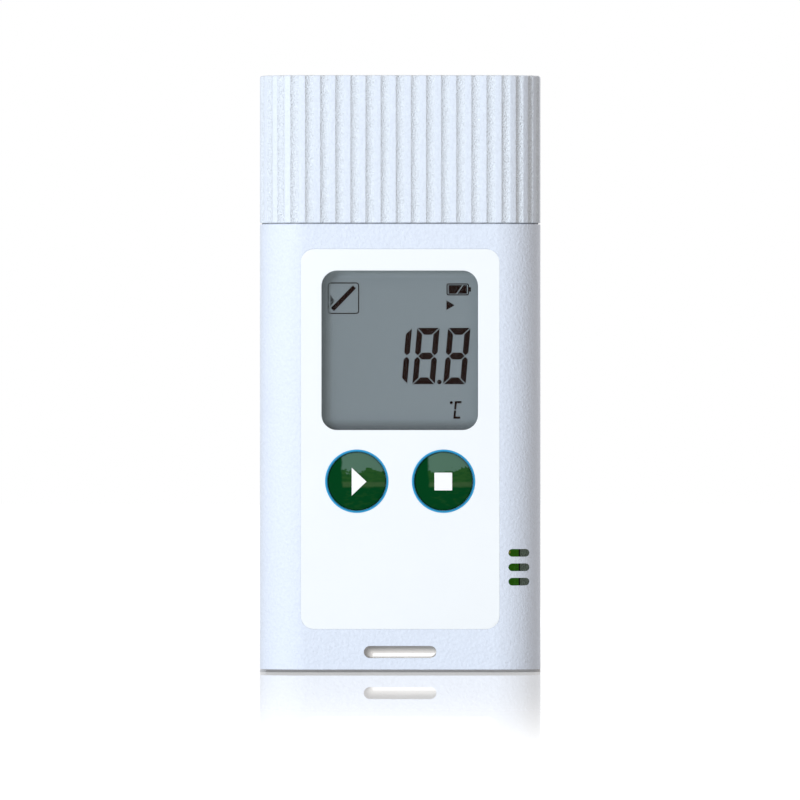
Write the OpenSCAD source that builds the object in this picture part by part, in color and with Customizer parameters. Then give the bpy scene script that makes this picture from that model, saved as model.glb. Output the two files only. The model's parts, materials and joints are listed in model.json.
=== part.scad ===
// Temperature data logger with a USB plug under a fluted cap
// The front faces -Y, +Z is up, and the origin is the middle of the base

/* [Case] */
// Width of the case
case_w = 40; // [34:0.5:48]
// Depth of the case, front to back
case_d = 14; // [12:0.1:17]
// Height of the case up to the shoulder under the cap
case_h = 63.8; // [54:0.1:76]
// Radius of the case's four upright edges
corner_r = 6.5; // [5:0.1:6.5]
// Wall of both shells
wall = 1.5; // [1.4:0.05:1.7]
// Height of the lip that locates the rear shell in the front shell
lip_h = 0.8; // [0.5:0.1:1.5]
// Thickness of that lip
lip_t = 0.6; // [0.4:0.05:0.8]

/* [Cap] */
// Height of the cap
cap_h = 21; // [19.5:0.1:26]
// Wall of the cap, over the lands between the flutes
cap_wall = 2; // [1.6:0.1:2.4]
// Thickness of the cap's top
cap_top = 1.6; // [1:0.1:2.5]
// Seam between the cap and the shoulder of the case
cap_seam = 0.2; // [0.1:0.05:0.4]
// Flutes on each side of the one at the front centre
flutes_a_side = 22; // [16:1:26]
// Width of a flute
flute_w = 1.3; // [0.8:0.05:1.5]
// Depth of a flute
flute_depth = 0.3; // [0.2:0.02:0.6]

/* [Neck under the cap] */
// Height of the neck above the shoulder
neck_h = 3.5; // [2.5:0.1:5]
// Wall of the neck
neck_wall = 1.2; // [0.9:0.1:1.5]
// Thickness of the neck's top plate
neck_top = 1.2; // [0.8:0.1:1.8]

/* [Overlay and window] */
// Distance of the front overlay from each side of the case
overlay_side = 5.85; // [5.5:0.05:6.5]
// Distance of the overlay's lower edge above the base
overlay_foot = 6.15; // [5:0.05:8]
// Distance of the overlay's upper edge below the shoulder
overlay_head = 3.55; // [2.5:0.05:5]
// Corner radius of the overlay
overlay_r = 1.9; // [1:0.1:3]
// Thickness of the overlay
overlay_t = 0.25; // [0.2:0.05:0.3]
// White margin of the overlay at each side of the display window
window_side = 2.95; // [2.7:0.05:4]
// Height of the display window
window_h = 22.7; // [20:0.1:23.4]
// Distance of the window's upper edge below the shoulder
window_head = 6.5; // [6.4:0.1:7]
// Corner radius of the window
window_r = 2.2; // [1:0.1:3]
// Thickness of the clear lens
lens_t = 0.8; // [0.6:0.05:0.9]
// Width of the lens edge that is bonded under the overlay
lens_edge = 0.7; // [0.4:0.1:0.9]

/* [Display] */
// Thickness of each display glass
glass_t = 0.7; // [0.5:0.05:0.8]
// Glass beyond the window at each side
glass_side = 0.8; // [0.5:0.1:0.9]
// Glass beyond the window above and below
glass_end = 1; // [0.6:0.1:1.1]
// Height of the contact ledge on the front glass
ledge_h = 2; // [1.8:0.1:2.2]
// Thickness of the polarizer film
polarizer_t = 0.1; // [0.05:0.01:0.15]
// Thickness of the segment layer between the glasses
segment_t = 0.05; // [0.03:0.01:0.1]
// Thickness of the reflector film
reflector_t = 0.2; // [0.1:0.05:0.3]
// Side wall of the display holder
holder_wall = 0.65; // [0.5:0.05:0.7]
// Height of the elastomer connector strip
zebra_h = 1.5; // [1.2:0.1:1.7]

/* [Digits] */
// Height of the large digits, as a share of the window's height
digit_h_share = 0.3535; // [0.25:0.005:0.4]
// Width of a large digit without its slant, as a share of the window's width
digit_w_share = 0.143; // [0.11:0.001:0.16]
// Slant of the digits in degrees
digit_slant = 5; // [0:1:8]

/* [Buttons] */
// Diameter of a button
button_d = 8.24; // [7:0.02:8.6]
// Distance of each button from the middle
button_x = 6.17; // [6:0.01:6.6]
// Distance of the buttons' middle below the window
button_drop = 7.4; // [7.2:0.1:9]
// Rise of a button's domed face
button_dome = 0.18; // [0.1:0.02:0.3]
// Width of the coloured ring round a button
ring_w = 0.33; // [0.2:0.01:0.5]
// Travel of a button
button_travel = 0.25; // [0.15:0.05:0.3]

/* [Vents and lanyard slot] */
// Number of vent slots
vent_count = 3; // [2:1:4]
// Length of a vent slot
vent_w = 2.9; // [2:0.1:3.2]
// Height of a vent slot
vent_h = 1.1; // [0.8:0.1:1.4]
// Distance from one vent slot to the next
vent_pitch = 2.05; // [1.8:0.05:2.4]
// Height of the middle of the vent slots above the base
vent_z = 14.95; // [14.5:0.05:16]
// Distance of the vent slots' middle from the side of the case
vent_inset = 3.05; // [2.9:0.05:3.3]
// Width of the lanyard slot
lanyard_w = 10.3; // [8:0.1:12]
// Height of the lanyard slot
lanyard_h = 1.7; // [1.2:0.1:2]
// Height of the lanyard slot's middle above the base
lanyard_z = 2.9; // [2.4:0.1:2.9]

/* [Circuit board] */
// Thickness of the board
board_t = 1; // [0.8:0.1:1.2]
// Gap from the board's edge to the side wall
board_side = 1.4; // [1.4:0.1:1.7]
// Height of the board's lower edge above the base
board_foot = 6.6; // [6:0.1:6.8]

/* [USB plug] */
// Width of the plug shell
plug_w = 12; // [11.8:0.05:12.2]
// Depth of the plug shell
plug_d = 4.5; // [4.4:0.05:4.6]
// Length of the plug above the neck
plug_reach = 12.6; // [11.75:0.05:13]
// Sheet thickness of the plug shell
plug_sheet = 0.3; // [0.25:0.01:0.35]

/* [Battery] */
// Diameter of the coin cell
cell_d = 20; // [18:0.5:20.5]
// Thickness of the coin cell
cell_t = 3.2; // [2.5:0.1:3.3]
// Height of the cell's middle above the base
cell_z = 24; // [23:0.1:26]
// Diameter of the battery cover's visible disc
cover_d = 25.6; // [25.2:0.1:26]
// Thickness of that disc
cover_t = 0.8; // [0.7:0.05:1]
// Width of the coin slot
coin_slot_w = 1.8; // [1.5:0.1:2.2]
// Length of the coin slot
coin_slot_l = 14; // [10:0.5:17]
// Angle from locked to open, in degrees
cover_turn = 45; // [40:1:50]

/* [Fasteners and label] */
// Diameter of a screw's shank
screw_d = 2; // [1.7:0.1:2.1]
// Depth of the screw heads' seat below the back
head_sink = 2.8; // [2:0.1:3.2]
// Diameter of a screw's head
head_d = 3.6; // [3.2:0.1:3.8]
// Thickness of a screw's head
head_t = 1.2; // [0.9:0.1:1.4]
// Distance of the two lower screws from the side of the case
low_screw_side = 7; // [6.6:0.1:7.2]
// Height of the two lower screws above the base
low_screw_z = 9.4; // [9.3:0.1:9.6]
// Distance of the two upper screws from the side of the case
high_screw_side = 5; // [4.9:0.1:5.1]
// Distance of the two upper screws below the shoulder
high_screw_drop = 4; // [3.8:0.1:4.2]
// Distance of the rear label from each side of the case
label_side = 8; // [8:0.1:11]
// Distance of the rear label above the battery cover
label_foot = 3.9; // [2:0.1:6]
// Distance of the rear label's upper edge below the shoulder
label_head = 4.5; // [3:0.1:8]

/* [Hidden] */
$fn = 48;

// Clearances and the overrun of all cuts
overrun = 0.5;
slide_fit = 0.05;
film_fit = 0.06;
loose_fit = 0.1;

// Colours as they show
WHITE = [0.90, 0.93, 0.98];
FILM_WHITE = [0.96, 0.98, 1.0];
GREEN = [0.02, 0.22, 0.12];
AZURE = [0.10, 0.58, 0.86];
BOARD_GREEN = [0.10, 0.38, 0.12];
LCD_GREY = [0.48, 0.53, 0.56];
INK = [0.12, 0.09, 0.08];
STEEL = [0.72, 0.73, 0.75];
GOLD = [0.85, 0.68, 0.30];
BLACK = [0.07, 0.07, 0.08];

// Radius of the upright edges, limited by the depth
side_flat = 0.5;
edge_r = min(corner_r, case_d / 2 - side_flat);

// Planes along the depth, with the plug and its contacts at the middle
contact_t = 0.2;
board_back_y = -contact_t;
board_y = board_back_y - board_t;
front_y = -case_d / 2;
rear_y = case_d / 2;
front_in_y = front_y + wall;
rear_in_y = rear_y - wall;
film_y = front_y + overlay_t;
lens_back_y = film_y + lens_t;
polarizer_y = front_in_y + slide_fit;
glass_y = polarizer_y + polarizer_t;
segment_y = glass_y + glass_t;
rear_glass_y = segment_y + segment_t;
reflector_y = rear_glass_y + glass_t;

// Cap and neck
cap_z = case_h + cap_seam;
cap_inner_w = case_w - 2 * cap_wall;
cap_inner_d = case_d - 2 * cap_wall;
cap_inner_r = edge_r - cap_wall;
neck_w = cap_inner_w - 2 * slide_fit;
neck_d = cap_inner_d - 2 * slide_fit;
neck_r = cap_inner_r - slide_fit;
throat_r = neck_r - neck_wall;

// Loop round the cap that the flutes follow
flat_half = case_w / 2 - edge_r;
side_half = case_d / 2 - edge_r;
quarter_arc = PI * edge_r / 2;
half_loop = 2 * flat_half + 2 * side_half + 2 * quarter_arc;
flute_pitch = 2 * half_loop / (2 * flutes_a_side + 1);
flute_r = (flute_w * flute_w / 4 + flute_depth * flute_depth) / (2 * flute_depth);

// Overlay and window
overlay_w = case_w - 2 * overlay_side;
overlay_h = case_h - overlay_foot - overlay_head;
overlay_z = overlay_foot + overlay_h / 2;
window_w = overlay_w - 2 * window_side;
window_z = case_h - window_head - window_h / 2;

// Display
glass_w = window_w + 2 * glass_side;
glass_h = window_h + 2 * glass_end;
front_glass_h = glass_h + ledge_h;
front_glass_z = window_z + ledge_h / 2;
ledge_z = window_z + glass_h / 2 + ledge_h / 2;
holder_shelf = 0.9;
glass_r = 0.15;

// Large digits, sized and placed by shares of the window
digit_h = digit_h_share * window_h;
digit_w = digit_w_share * window_w;
digit_stroke = digit_w / 4;
digit_gap = digit_w / 32;
digit_pitch_share = 0.196;
digit_pitch = digit_pitch_share * window_w;
last_digit_x_share = 0.36;
half_digit_x_share = -0.012;
digit_drop_share = 0.041;
segment_tip = digit_stroke / 2;
crossbar_tip = 1.22 * segment_tip;
point_x_share = 0.249;
point_r = digit_w / 10;

// Small marks on the display: places of their middles and sizes, as shares of the window
mark_line = window_w / 150;
unit_place_shares = [0.364, -0.379];
unit_size_shares = [0.043, 0.111];
unit_stroke = 2.1 * mark_line;
degree_r = 1.5 * mark_line;
degree_gap = 2.6 * mark_line;
check_place_shares = [-0.361, 0.322];
check_size_share = 0.2;
check_stroke = 4.2 * mark_line;
check_r = 3 * mark_line;
tick_shares = [0.7, 0.72];
wedge_share = 0.36;
wedge_drop = 2.5 * mark_line;
cell_mark_place_shares = [0.366, 0.377];
cell_mark_size_shares = [0.143, 0.075];
nub_size_shares = [0.012, 0.028];
fill_gap_angle = 55;
fill_gap_shift = 2 * mark_line;
run_mark_place_shares = [0.32, 0.278];
run_mark_size_shares = [0.052, 0.06];

// Buttons and their switches
button_z = window_z - window_h / 2 - button_drop;
button_r = button_d / 2;
button_hole_r = button_r + slide_fit;
ring_r = button_hole_r + ring_w;
dome_set = 0.05;
dome_r = (button_r * button_r + button_dome * button_dome) / (2 * button_dome);
dome_fn = 720;
flange_w = 0.75;
flange_t = 0.5;
stem_r = 1.3;
mark_t = 0.3;
play_w = 2.17;
play_h = 4.1;
play_shift = 0.8;
stop_w = 2.62;
mark_proud = 0.03;
switch_w = 4.5;
switch_t = 1.5;
plunger_r = 1;
plunger_out = 0.6;
plunger_in = 0.5;
plunger_well = plunger_in + button_travel + loose_fit;
plunger_y = board_y - switch_t - plunger_out;

// Lanyard slot
lanyard_wall = 1.2;

// Board
board_w = case_w - 2 * wall - 2 * board_side;
board_head_drop = 2.5;
board_head = case_h - board_head_drop;
board_h = board_head - board_foot;
board_r = 1;
board_hole_r = screw_d / 2 + loose_fit + slide_fit;

// Plug
plug_r = 0.6;
plug_tip_z = case_h + neck_h + plug_reach;
plug_root_z = board_head + loose_fit;
plug_leg_h = 3;
plug_leg_d = 1.6;
plug_hole_w = 2.3;
plug_hole_h = 1.9;
plug_hole_r = 0.15;
plug_hole_x = 2.5;
plug_hole_drop = 6;
tongue_gap = 0.1;
tongue_w = plug_w - 2 * plug_sheet - 2 * tongue_gap;
tongue_d = plug_d - 2 * plug_sheet - 2 * tongue_gap;
tongue_drop = 0.7;
tongue_base_h = 4.4;
tongue_web = 1;
contact_w = 1;
contact_xs = [-3.5, -1, 1, 3.5];
contact_tail = 3.2;
contact_drop = 1;

// Cover, cell and the well that holds them
cell_r = cell_d / 2;
cell_rim = 0.5;
cell_step = 0.3;
cover_r = cover_d / 2;
cover_seat_y = rear_y - cover_t - slide_fit;
ledge_t = 0.8;
lug_t = 0.5;
lug_y = cover_seat_y - ledge_t - slide_fit - lug_t;
hub_inset = 1.8;
hub_r = cover_r - hub_inset;
hub_wall = 1.2;
hub_floor = 0.8;
lug_reach = 1.4;
lug_r = hub_r + lug_reach;
lug_angle = 30;
lug_play = 4;
well_play = 0.3;
well_r = cell_r + well_play;
groove_play = 0.3;
groove_r = lug_r + groove_play;
well_wall = 1.2;
well_outer_r = groove_r + well_wall;
cover_mouth_r = cover_r + loose_fit;
cell_play = 0.15;
cell_back_y = lug_y - cell_play;
cell_y = cell_back_y - cell_t;
coin_slot_depth = 1;
contact_sheet = 0.2;
spring_w = 4;
spring_foot = 3;
spring_run = 4;
spring_pad = 3;
tab_w = 4;
tab_foot = 2.4;
tab_gap = 0.05;
tab_short = 0.8;
tab_notch = 0.4;

// Screws and their bosses
front_boss_r = 1.95;
rear_boss_r = 2.8;
head_play = 0.15;
head_slot = 0.5;
head_slot_l = 2.2;
head_slot_depth = 0.5;
low_screw_x = case_w / 2 - low_screw_side;
high_screw_x = case_w / 2 - high_screw_side;
high_screw_z = case_h - high_screw_drop;
screw_places = [
    [-low_screw_x, low_screw_z], [low_screw_x, low_screw_z],
    [-high_screw_x, high_screw_z], [high_screw_x, high_screw_z]
];
pilot_r = screw_d / 2 + slide_fit;
tip_cover = 1.7;
tip_play = 0.5;
head_seat_y = rear_y - head_sink;
screw_tip_y = front_in_y + tip_cover;
pilot_end_y = screw_tip_y - tip_play;

// Rear label
label_w = case_w - 2 * label_side;
label_low_z = cell_z + cover_r + label_foot;
label_h = case_h - label_head - label_low_z;
label_z = label_low_z + label_h / 2;
label_r = 1.5;
label_t = 0.2;

// Chips on the back of the board, between the cell's collar and the plug
chip_w = 7;
chip_t = 1.3;
chip_r = 0.15;
chip_x = -6;
chip_z = (cell_z + well_outer_r + plug_root_z - plug_leg_h) / 2;
chip_leads = 10;
lead_w = 0.22;
lead_pitch = 0.5;
lead_t = 0.15;
lead_foot = 0.5;
lead_reach = 1;
lead_rise = 0.6;
memory_w = 4;
memory_h = 5;
memory_t = 1.5;
memory_x = 6.5;
memory_leads_a_side = 4;
memory_pitch = 1.27;
memory_lead_w = 0.42;
crystal_r = 1;
crystal_l = 6;
part_gap = 0.3;
crystal_x = chip_x - chip_w / 2 - lead_reach - part_gap - crystal_r;

// The sensor beside the vents, and the small parts in columns
vent_x = case_w / 2 - vent_inset;
sensor_w = 2;
sensor_t = 0.75;
sensor_x = vent_x - vent_w / 2 - part_gap - sensor_w;
small_w = 1.6;
small_h = 0.8;
small_t = 0.5;
small_pitch = 2.2;
smalls_a_column = 4;
rear_column_x = memory_x + memory_w / 2 + lead_reach + part_gap + small_w / 2;
front_column_z = 20;

// A rounded rectangle, centred, with true arcs
module plan(w, d, r) {
    square([w - 2 * r, d], center = true);
    square([w, d - 2 * r], center = true);
    for (sx = [-1, 1], sy = [-1, 1])
        translate([sx * (w / 2 - r), sy * (d / 2 - r)])
            circle(r = r);
}

// A slot with round ends, centred
module slot_shape(w, h) {
    square([w - h, h], center = true);
    for (sx = [-1, 1])
        translate([sx * (w - h) / 2, 0])
            circle(r = h / 2);
}

// Whatever outline follows, drawn as seen from the front, from depth y0 to y1
module facing(y0, y1) {
    translate([0, y1, 0])
        rotate([90, 0, 0])
            linear_extrude(y1 - y0)
                children();
}

// A rounded plate seen from the front, with its middle at x, z
module face_plate(x, z, w, h, r, y0, y1) {
    facing(y0, y1)
        translate([x, z])
            plan(w, h, r);
}

// A round pin or hole along the depth, from y0 to y1
module pin_y(x, z, r, y0, y1) {
    translate([x, y1, z])
        rotate([90, 0, 0])
            cylinder(r = r, h = y1 - y0);
}

// A box from one corner to the other
module block(low, high) {
    translate(low)
        cube(high - low);
}

// The case and its neck as one solid
module case_solid() {
    linear_extrude(case_h)
        plan(case_w, case_d, edge_r);
    translate([0, 0, case_h - overrun])
        linear_extrude(neck_h + overrun)
            plan(neck_w, neck_d, neck_r);
}

// The hollow inside the case and its neck
module case_hollow() {
    translate([0, 0, wall])
        linear_extrude(case_h - 2 * wall)
            plan(case_w - 2 * wall, case_d - 2 * wall, edge_r - wall);
    translate([0, 0, case_h - wall - overrun])
        linear_extrude(wall + overrun + neck_h - neck_top)
            plan(neck_w - 2 * neck_wall, neck_d - 2 * neck_wall, throat_r);
}

// The opening in the neck's top plate for the plug
module plug_aperture() {
    translate([0, 0, case_h + neck_h - neck_top - overrun])
        linear_extrude(neck_top + 2 * overrun)
            plan(plug_w + 2 * slide_fit, plug_d + 2 * slide_fit, plug_r + slide_fit);
}

// The walls round the lanyard slot, inside the case
module lanyard_block() {
    block(
        [-lanyard_w / 2 - lanyard_wall, front_in_y - overrun, 0],
        [lanyard_w / 2 + lanyard_wall, rear_in_y + overrun, lanyard_z + lanyard_h / 2 + lanyard_wall]
    );
}

// The lanyard slot, through both shells
module lanyard_cut() {
    facing(front_y - overrun, rear_y + overrun)
        translate([0, lanyard_z])
            slot_shape(lanyard_w, lanyard_h);
}

// The wall band at the parting line: t is its thickness and y0 to y1 its depth
module lip_band(t, y0, y1) {
    difference() {
        block([-case_w / 2 + wall - t, y0, wall - t], [case_w / 2 - wall + t, y1, case_h - wall + t]);
        case_hollow();
        lanyard_block();
    }
}

// Front half of everything
module front_half() {
    block([-case_w, -case_d, -overrun], [case_w, 0, case_h + neck_h + overrun]);
}

// Rear half of everything
module rear_half() {
    block([-case_w, 0, -overrun], [case_w, case_d, case_h + neck_h + overrun]);
}

module front_shell() {
    color(WHITE)
    difference() {
        intersection() {
            union() {
                difference() {
                    case_solid();
                    case_hollow();
                }
                lanyard_block();
                for (p = screw_places)
                    pin_y(p[0], p[1], front_boss_r, front_in_y - overrun, board_y);
            }
            case_solid();
            front_half();
        }
        plug_aperture();
        lanyard_cut();
        lip_band(lip_t + slide_fit, -lip_h - slide_fit, overrun);
        face_plate(0, overlay_z, overlay_w + 2 * film_fit, overlay_h + 2 * film_fit,
            overlay_r + film_fit, front_y - overrun, film_y);
        face_plate(0, window_z, window_w + 2 * lens_edge + 2 * film_fit,
            window_h + 2 * lens_edge + 2 * film_fit, window_r + film_fit, front_y, lens_back_y);
        face_plate(0, window_z, window_w, window_h, window_r, front_y, front_in_y + overrun);
        for (sx = [-1, 1])
            pin_y(sx * button_x, button_z, button_hole_r, front_y, front_in_y + overrun);
        for (p = screw_places)
            pin_y(p[0], p[1], pilot_r, pilot_end_y, overrun);
        vent_cuts();
    }
}

// Vent slots through the right front edge, into the space beside the board
module vent_cuts() {
    for (i = [0 : vent_count - 1])
        facing(front_y - overrun, board_y - slide_fit)
            translate([vent_x, vent_z + (i - (vent_count - 1) / 2) * vent_pitch])
                slot_shape(vent_w, vent_h);
}

// The collar in the rear shell that guides the cell and holds the cover
module cell_collar() {
    difference() {
        pin_y(0, cell_z, well_outer_r, board_back_y + loose_fit, rear_in_y + overrun);
        pin_y(0, cell_z, well_r, board_back_y, rear_y);
        pin_y(0, cell_z, groove_r, lug_y - loose_fit, lug_y + lug_t + slide_fit);
        block([-tab_w / 2 - tab_notch, board_back_y, cell_z],
            [tab_w / 2 + tab_notch, lug_y - loose_fit, cell_z + well_outer_r + overrun]);
    }
}

// The cuts for the cover: its recess, the bayonet ledge and the ledge's gates
module cover_cuts() {
    pin_y(0, cell_z, cover_mouth_r, cover_seat_y, rear_y + overrun);
    pin_y(0, cell_z, hub_r + loose_fit, lug_y, rear_y);
    difference() {
        lugs(cover_turn, lug_angle + lug_play, lug_r + loose_fit, lug_y, rear_y);
        pin_y(0, cell_z, hub_r, lug_y - overrun, rear_y + overrun);
    }
}

// Three wedges of one ring, turned by an angle about the cover's axis
module lugs(turn, width, r, y0, y1) {
    translate([0, y1, cell_z])
        rotate([90, 0, 0])
            for (i = [0 : 2])
                rotate([0, 0, 90 + 120 * i - turn - width / 2])
                    rotate_extrude(angle = width)
                        translate([hub_r - hub_wall, 0])
                            square([r - hub_r + hub_wall, y1 - y0]);
}

module rear_shell() {
    color(WHITE)
    difference() {
        union() {
            intersection() {
                union() {
                    difference() {
                        case_solid();
                        case_hollow();
                    }
                    lanyard_block();
                    cell_collar();
                    for (p = screw_places)
                        pin_y(p[0], p[1], rear_boss_r, board_back_y, rear_in_y + overrun);
                }
                case_solid();
                rear_half();
            }
            rear_boss_feet();
            lip_band(lip_t, -lip_h, slide_fit);
        }
        plug_aperture();
        lanyard_cut();
        cover_cuts();
        for (p = screw_places) {
            pin_y(p[0], p[1], pilot_r + loose_fit, board_back_y - overrun, rear_y);
            pin_y(p[0], p[1], head_d / 2 + head_play, head_seat_y, rear_y + overrun);
        }
        face_plate(0, label_z, label_w + 2 * film_fit, label_h + 2 * film_fit,
            label_r + film_fit, rear_y - label_t, rear_y + overrun);
    }
}

// The short stretch of each rear boss that reaches past the parting plane to the board
module rear_boss_feet() {
    if (board_back_y < 0)
        for (p = screw_places)
            pin_y(p[0], p[1], front_boss_r, board_back_y, slide_fit);
}

// A point of the cap's loop, s along it from the front centre, with its outward angle
function loop_point(s) =
    s < flat_half ? [s, -case_d / 2, -90] :
    s < flat_half + quarter_arc ? corner_point(-side_half, -90, s - flat_half) :
    s < flat_half + quarter_arc + 2 * side_half ?
        [case_w / 2, s - flat_half - quarter_arc - side_half, 0] :
    s < flat_half + 2 * quarter_arc + 2 * side_half ?
        corner_point(side_half, 0, s - flat_half - quarter_arc - 2 * side_half) :
    [half_loop - s, case_d / 2, 90];

// A point on an upright edge, run along its arc from a starting angle
function corner_point(y, start, run) =
    let (a = start + run / edge_r * 180 / PI)
    [flat_half + edge_r * cos(a), y + edge_r * sin(a), a];

// One flute at a point of the loop
module flute(p) {
    out = flute_r - flute_depth;
    translate([p[0] + out * cos(p[2]), p[1] + out * sin(p[2]), cap_z - overrun])
        cylinder(r = flute_r, h = cap_h + 2 * overrun);
}

module usb_cap() {
    color(WHITE)
    difference() {
        translate([0, 0, cap_z])
            linear_extrude(cap_h)
                plan(case_w, case_d, edge_r);
        translate([0, 0, cap_z - overrun])
            linear_extrude(cap_h - cap_top + overrun)
                plan(cap_inner_w, cap_inner_d, cap_inner_r);
        flute(loop_point(0));
        for (i = [1 : flutes_a_side]) {
            flute(loop_point(i * flute_pitch));
            mirror([1, 0, 0])
                flute(loop_point(i * flute_pitch));
        }
    }
}

module front_overlay() {
    color(FILM_WHITE)
    difference() {
        face_plate(0, overlay_z, overlay_w, overlay_h, overlay_r, front_y, film_y);
        face_plate(0, window_z, window_w, window_h, window_r, front_y - overrun, film_y + overrun);
        for (sx = [-1, 1])
            pin_y(sx * button_x, button_z, ring_r + film_fit, front_y - overrun, film_y + overrun);
    }
}

module window_lens() {
    color([0.85, 0.9, 0.92, 0.3])
    face_plate(0, window_z, window_w + 2 * lens_edge, window_h + 2 * lens_edge, window_r,
        film_y, lens_back_y);
}

module lcd_polarizer() {
    color([0.6, 0.64, 0.66, 0.3])
    face_plate(0, window_z, glass_w, glass_h, glass_r, polarizer_y, glass_y);
}

module lcd_front_glass() {
    color([0.75, 0.85, 0.85, 0.3])
    face_plate(0, front_glass_z, glass_w, front_glass_h, glass_r, glass_y, segment_y);
}

module lcd_rear_glass() {
    color([0.75, 0.85, 0.85, 0.3])
    face_plate(0, window_z, glass_w, glass_h, glass_r, rear_glass_y, reflector_y);
}

module lcd_reflector() {
    color(LCD_GREY)
    face_plate(0, window_z, glass_w, glass_h, glass_r, reflector_y, reflector_y + reflector_t);
}

// The outline of a digit's middle bar, which lies along x with pointed ends, n long
function middle_bar(n) =
    let (reach = n / 2 - digit_gap, shoulder = reach - crossbar_tip)
    [
        [-reach, 0], [-shoulder, crossbar_tip], [shoulder, crossbar_tip],
        [reach, 0], [shoulder, -crossbar_tip], [-shoulder, -crossbar_tip]
    ];

// The outline of a digit's upper bar, n long: mitred, with its long edge up
function end_bar(n) =
    let (reach = n / 2 - digit_gap, inner = 2 * crossbar_tip - segment_tip)
    [
        [-reach - segment_tip, segment_tip], [reach + segment_tip, segment_tip],
        [reach - inner, -inner], [inner - reach, -inner]
    ];

// The outline of a digit's upper right bar, n long: its low end pointed, its high end mitred
function side_bar(n) =
    let (reach = n / 2 - digit_gap)
    [
        [0, -reach], [segment_tip, segment_tip - reach], [segment_tip, reach + segment_tip],
        [-segment_tip, reach - segment_tip], [-segment_tip, segment_tip - reach]
    ];

// A point of a digit, leaning with the digit's slant
function lean(p) = [p[0] + p[1] * tan(digit_slant), p[1]];

// A bar of a digit with its middle at x, y, turned over where a sign is -1
module bar(points, x, y, sx, sy) {
    polygon([for (p = points) lean([x + sx * p[0], y + sy * p[1]])]);
}

// The bars of one slanted digit about its middle; the right upright ones only for a 1
module digit(right_only) {
    across = digit_w - digit_stroke;
    up = (digit_h - digit_stroke) / 2;
    for (sy = [-1, 1]) {
        bar(side_bar(up), across / 2, sy * up / 2, 1, sy);
        if (!right_only) {
            bar(side_bar(up), -across / 2, sy * up / 2, -1, sy);
            bar(end_bar(across), 0, sy * up, 1, sy);
        }
    }
    if (!right_only)
        bar(middle_bar(across), 0, 0, 1, 1);
}

// A frame of one line, centred
module outline_box(w, h, r, line) {
    difference() {
        plan(w, h, r);
        plan(w - 2 * line, h - 2 * line, r - line);
    }
}

// A place or a size on the display, from its shares of the window
function on_window(shares) = [shares[0] * window_w, shares[1] * window_h];

// The reading: a leading 1, an 8, the point and another 8
module reading() {
    translate([0, -digit_drop_share * window_h]) {
        translate([last_digit_x_share * window_w, 0])
            digit(false);
        translate([last_digit_x_share * window_w - digit_pitch, 0])
            digit(false);
        translate([half_digit_x_share * window_w, 0])
            digit(true);
        translate([point_x_share * window_w, point_r - digit_h / 2])
            circle(r = point_r);
    }
}

// The unit: a degree dot and a slanted, square-cornered C in two halves
module unit_mark() {
    half = on_window(unit_size_shares) / 2;
    hook = [
        [-half[0], mark_line / 2], [-half[0], half[1]], half,
        [half[0], half[1] - unit_stroke], [unit_stroke - half[0], half[1] - unit_stroke],
        [unit_stroke - half[0], mark_line / 2]
    ];
    translate(on_window(unit_place_shares)) {
        translate([-half[0] - degree_gap, half[1] - degree_r])
            circle(r = degree_r);
        for (sy = [-1, 1])
            bar(hook, 0, 0, 1, sy);
    }
}

// The record status mark: a box with a tick in it
module check_mark() {
    side = check_size_share * window_w;
    run = tick_shares * side;
    wedge = wedge_share * side;
    translate(on_window(check_place_shares)) {
        outline_box(side, side, check_r, mark_line);
        rotate(atan2(run[1], run[0]))
            square([norm(run), check_stroke], center = true);
        translate([0, -wedge_drop])
            polygon([
                [-run[0] / 2 - 2 * mark_line, wedge / 2],
                [-run[0] / 2 + 2 * mark_line, 0],
                [-run[0] / 2 - 2 * mark_line, -wedge / 2]
            ]);
    }
}

// The battery mark: an outline with a nub and two fills with a slanted gap
module cell_mark() {
    size = on_window(cell_mark_size_shares);
    nub = on_window(nub_size_shares);
    fill = size - [4 * mark_line, 3.2 * mark_line];
    translate(on_window(cell_mark_place_shares)) {
        outline_box(size[0], size[1], 2 * mark_line, mark_line);
        translate([size[0] / 2, -nub[1] / 2])
            square(nub);
        difference() {
            square(fill, center = true);
            translate([fill_gap_shift, 0])
                rotate(fill_gap_angle)
                    square([2 * fill[1], mark_line], center = true);
        }
    }
}

// The run mark: a small triangle that points right
module run_mark() {
    size = on_window(run_mark_size_shares);
    translate(on_window(run_mark_place_shares))
        polygon([[-size[0] / 2, size[1] / 2], [size[0] / 2, 0], [-size[0] / 2, -size[1] / 2]]);
}

module lcd_segments() {
    color(INK)
    facing(segment_y, rear_glass_y)
        translate([0, window_z]) {
            reading();
            unit_mark();
            check_mark();
            cell_mark();
            run_mark();
        }
}

module lcd_holder() {
    color([0.82, 0.83, 0.84])
    difference() {
        face_plate(0, front_glass_z, glass_w + 2 * film_fit + 2 * holder_wall,
            front_glass_h + 2 * film_fit + 2 * holder_wall, holder_wall,
            front_in_y + slide_fit, board_y);
        face_plate(0, front_glass_z, glass_w + 2 * film_fit, front_glass_h + 2 * film_fit,
            glass_r, front_in_y, segment_y);
        face_plate(0, window_z, glass_w + 2 * film_fit, glass_h + 2 * film_fit,
            glass_r, front_in_y, reflector_y + reflector_t);
        face_plate(0, window_z, glass_w - 2 * holder_shelf, glass_h - 2 * holder_shelf,
            glass_r, front_in_y, board_y + overrun);
        face_plate(0, ledge_z, glass_w - 2 * film_fit, ledge_h + 2 * film_fit,
            glass_r, segment_y - overrun, board_y + overrun);
    }
}

module zebra_strip() {
    color([0.25, 0.25, 0.27])
    face_plate(0, ledge_z, glass_w - 4 * film_fit, zebra_h, glass_r, segment_y, board_y);
}

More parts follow.
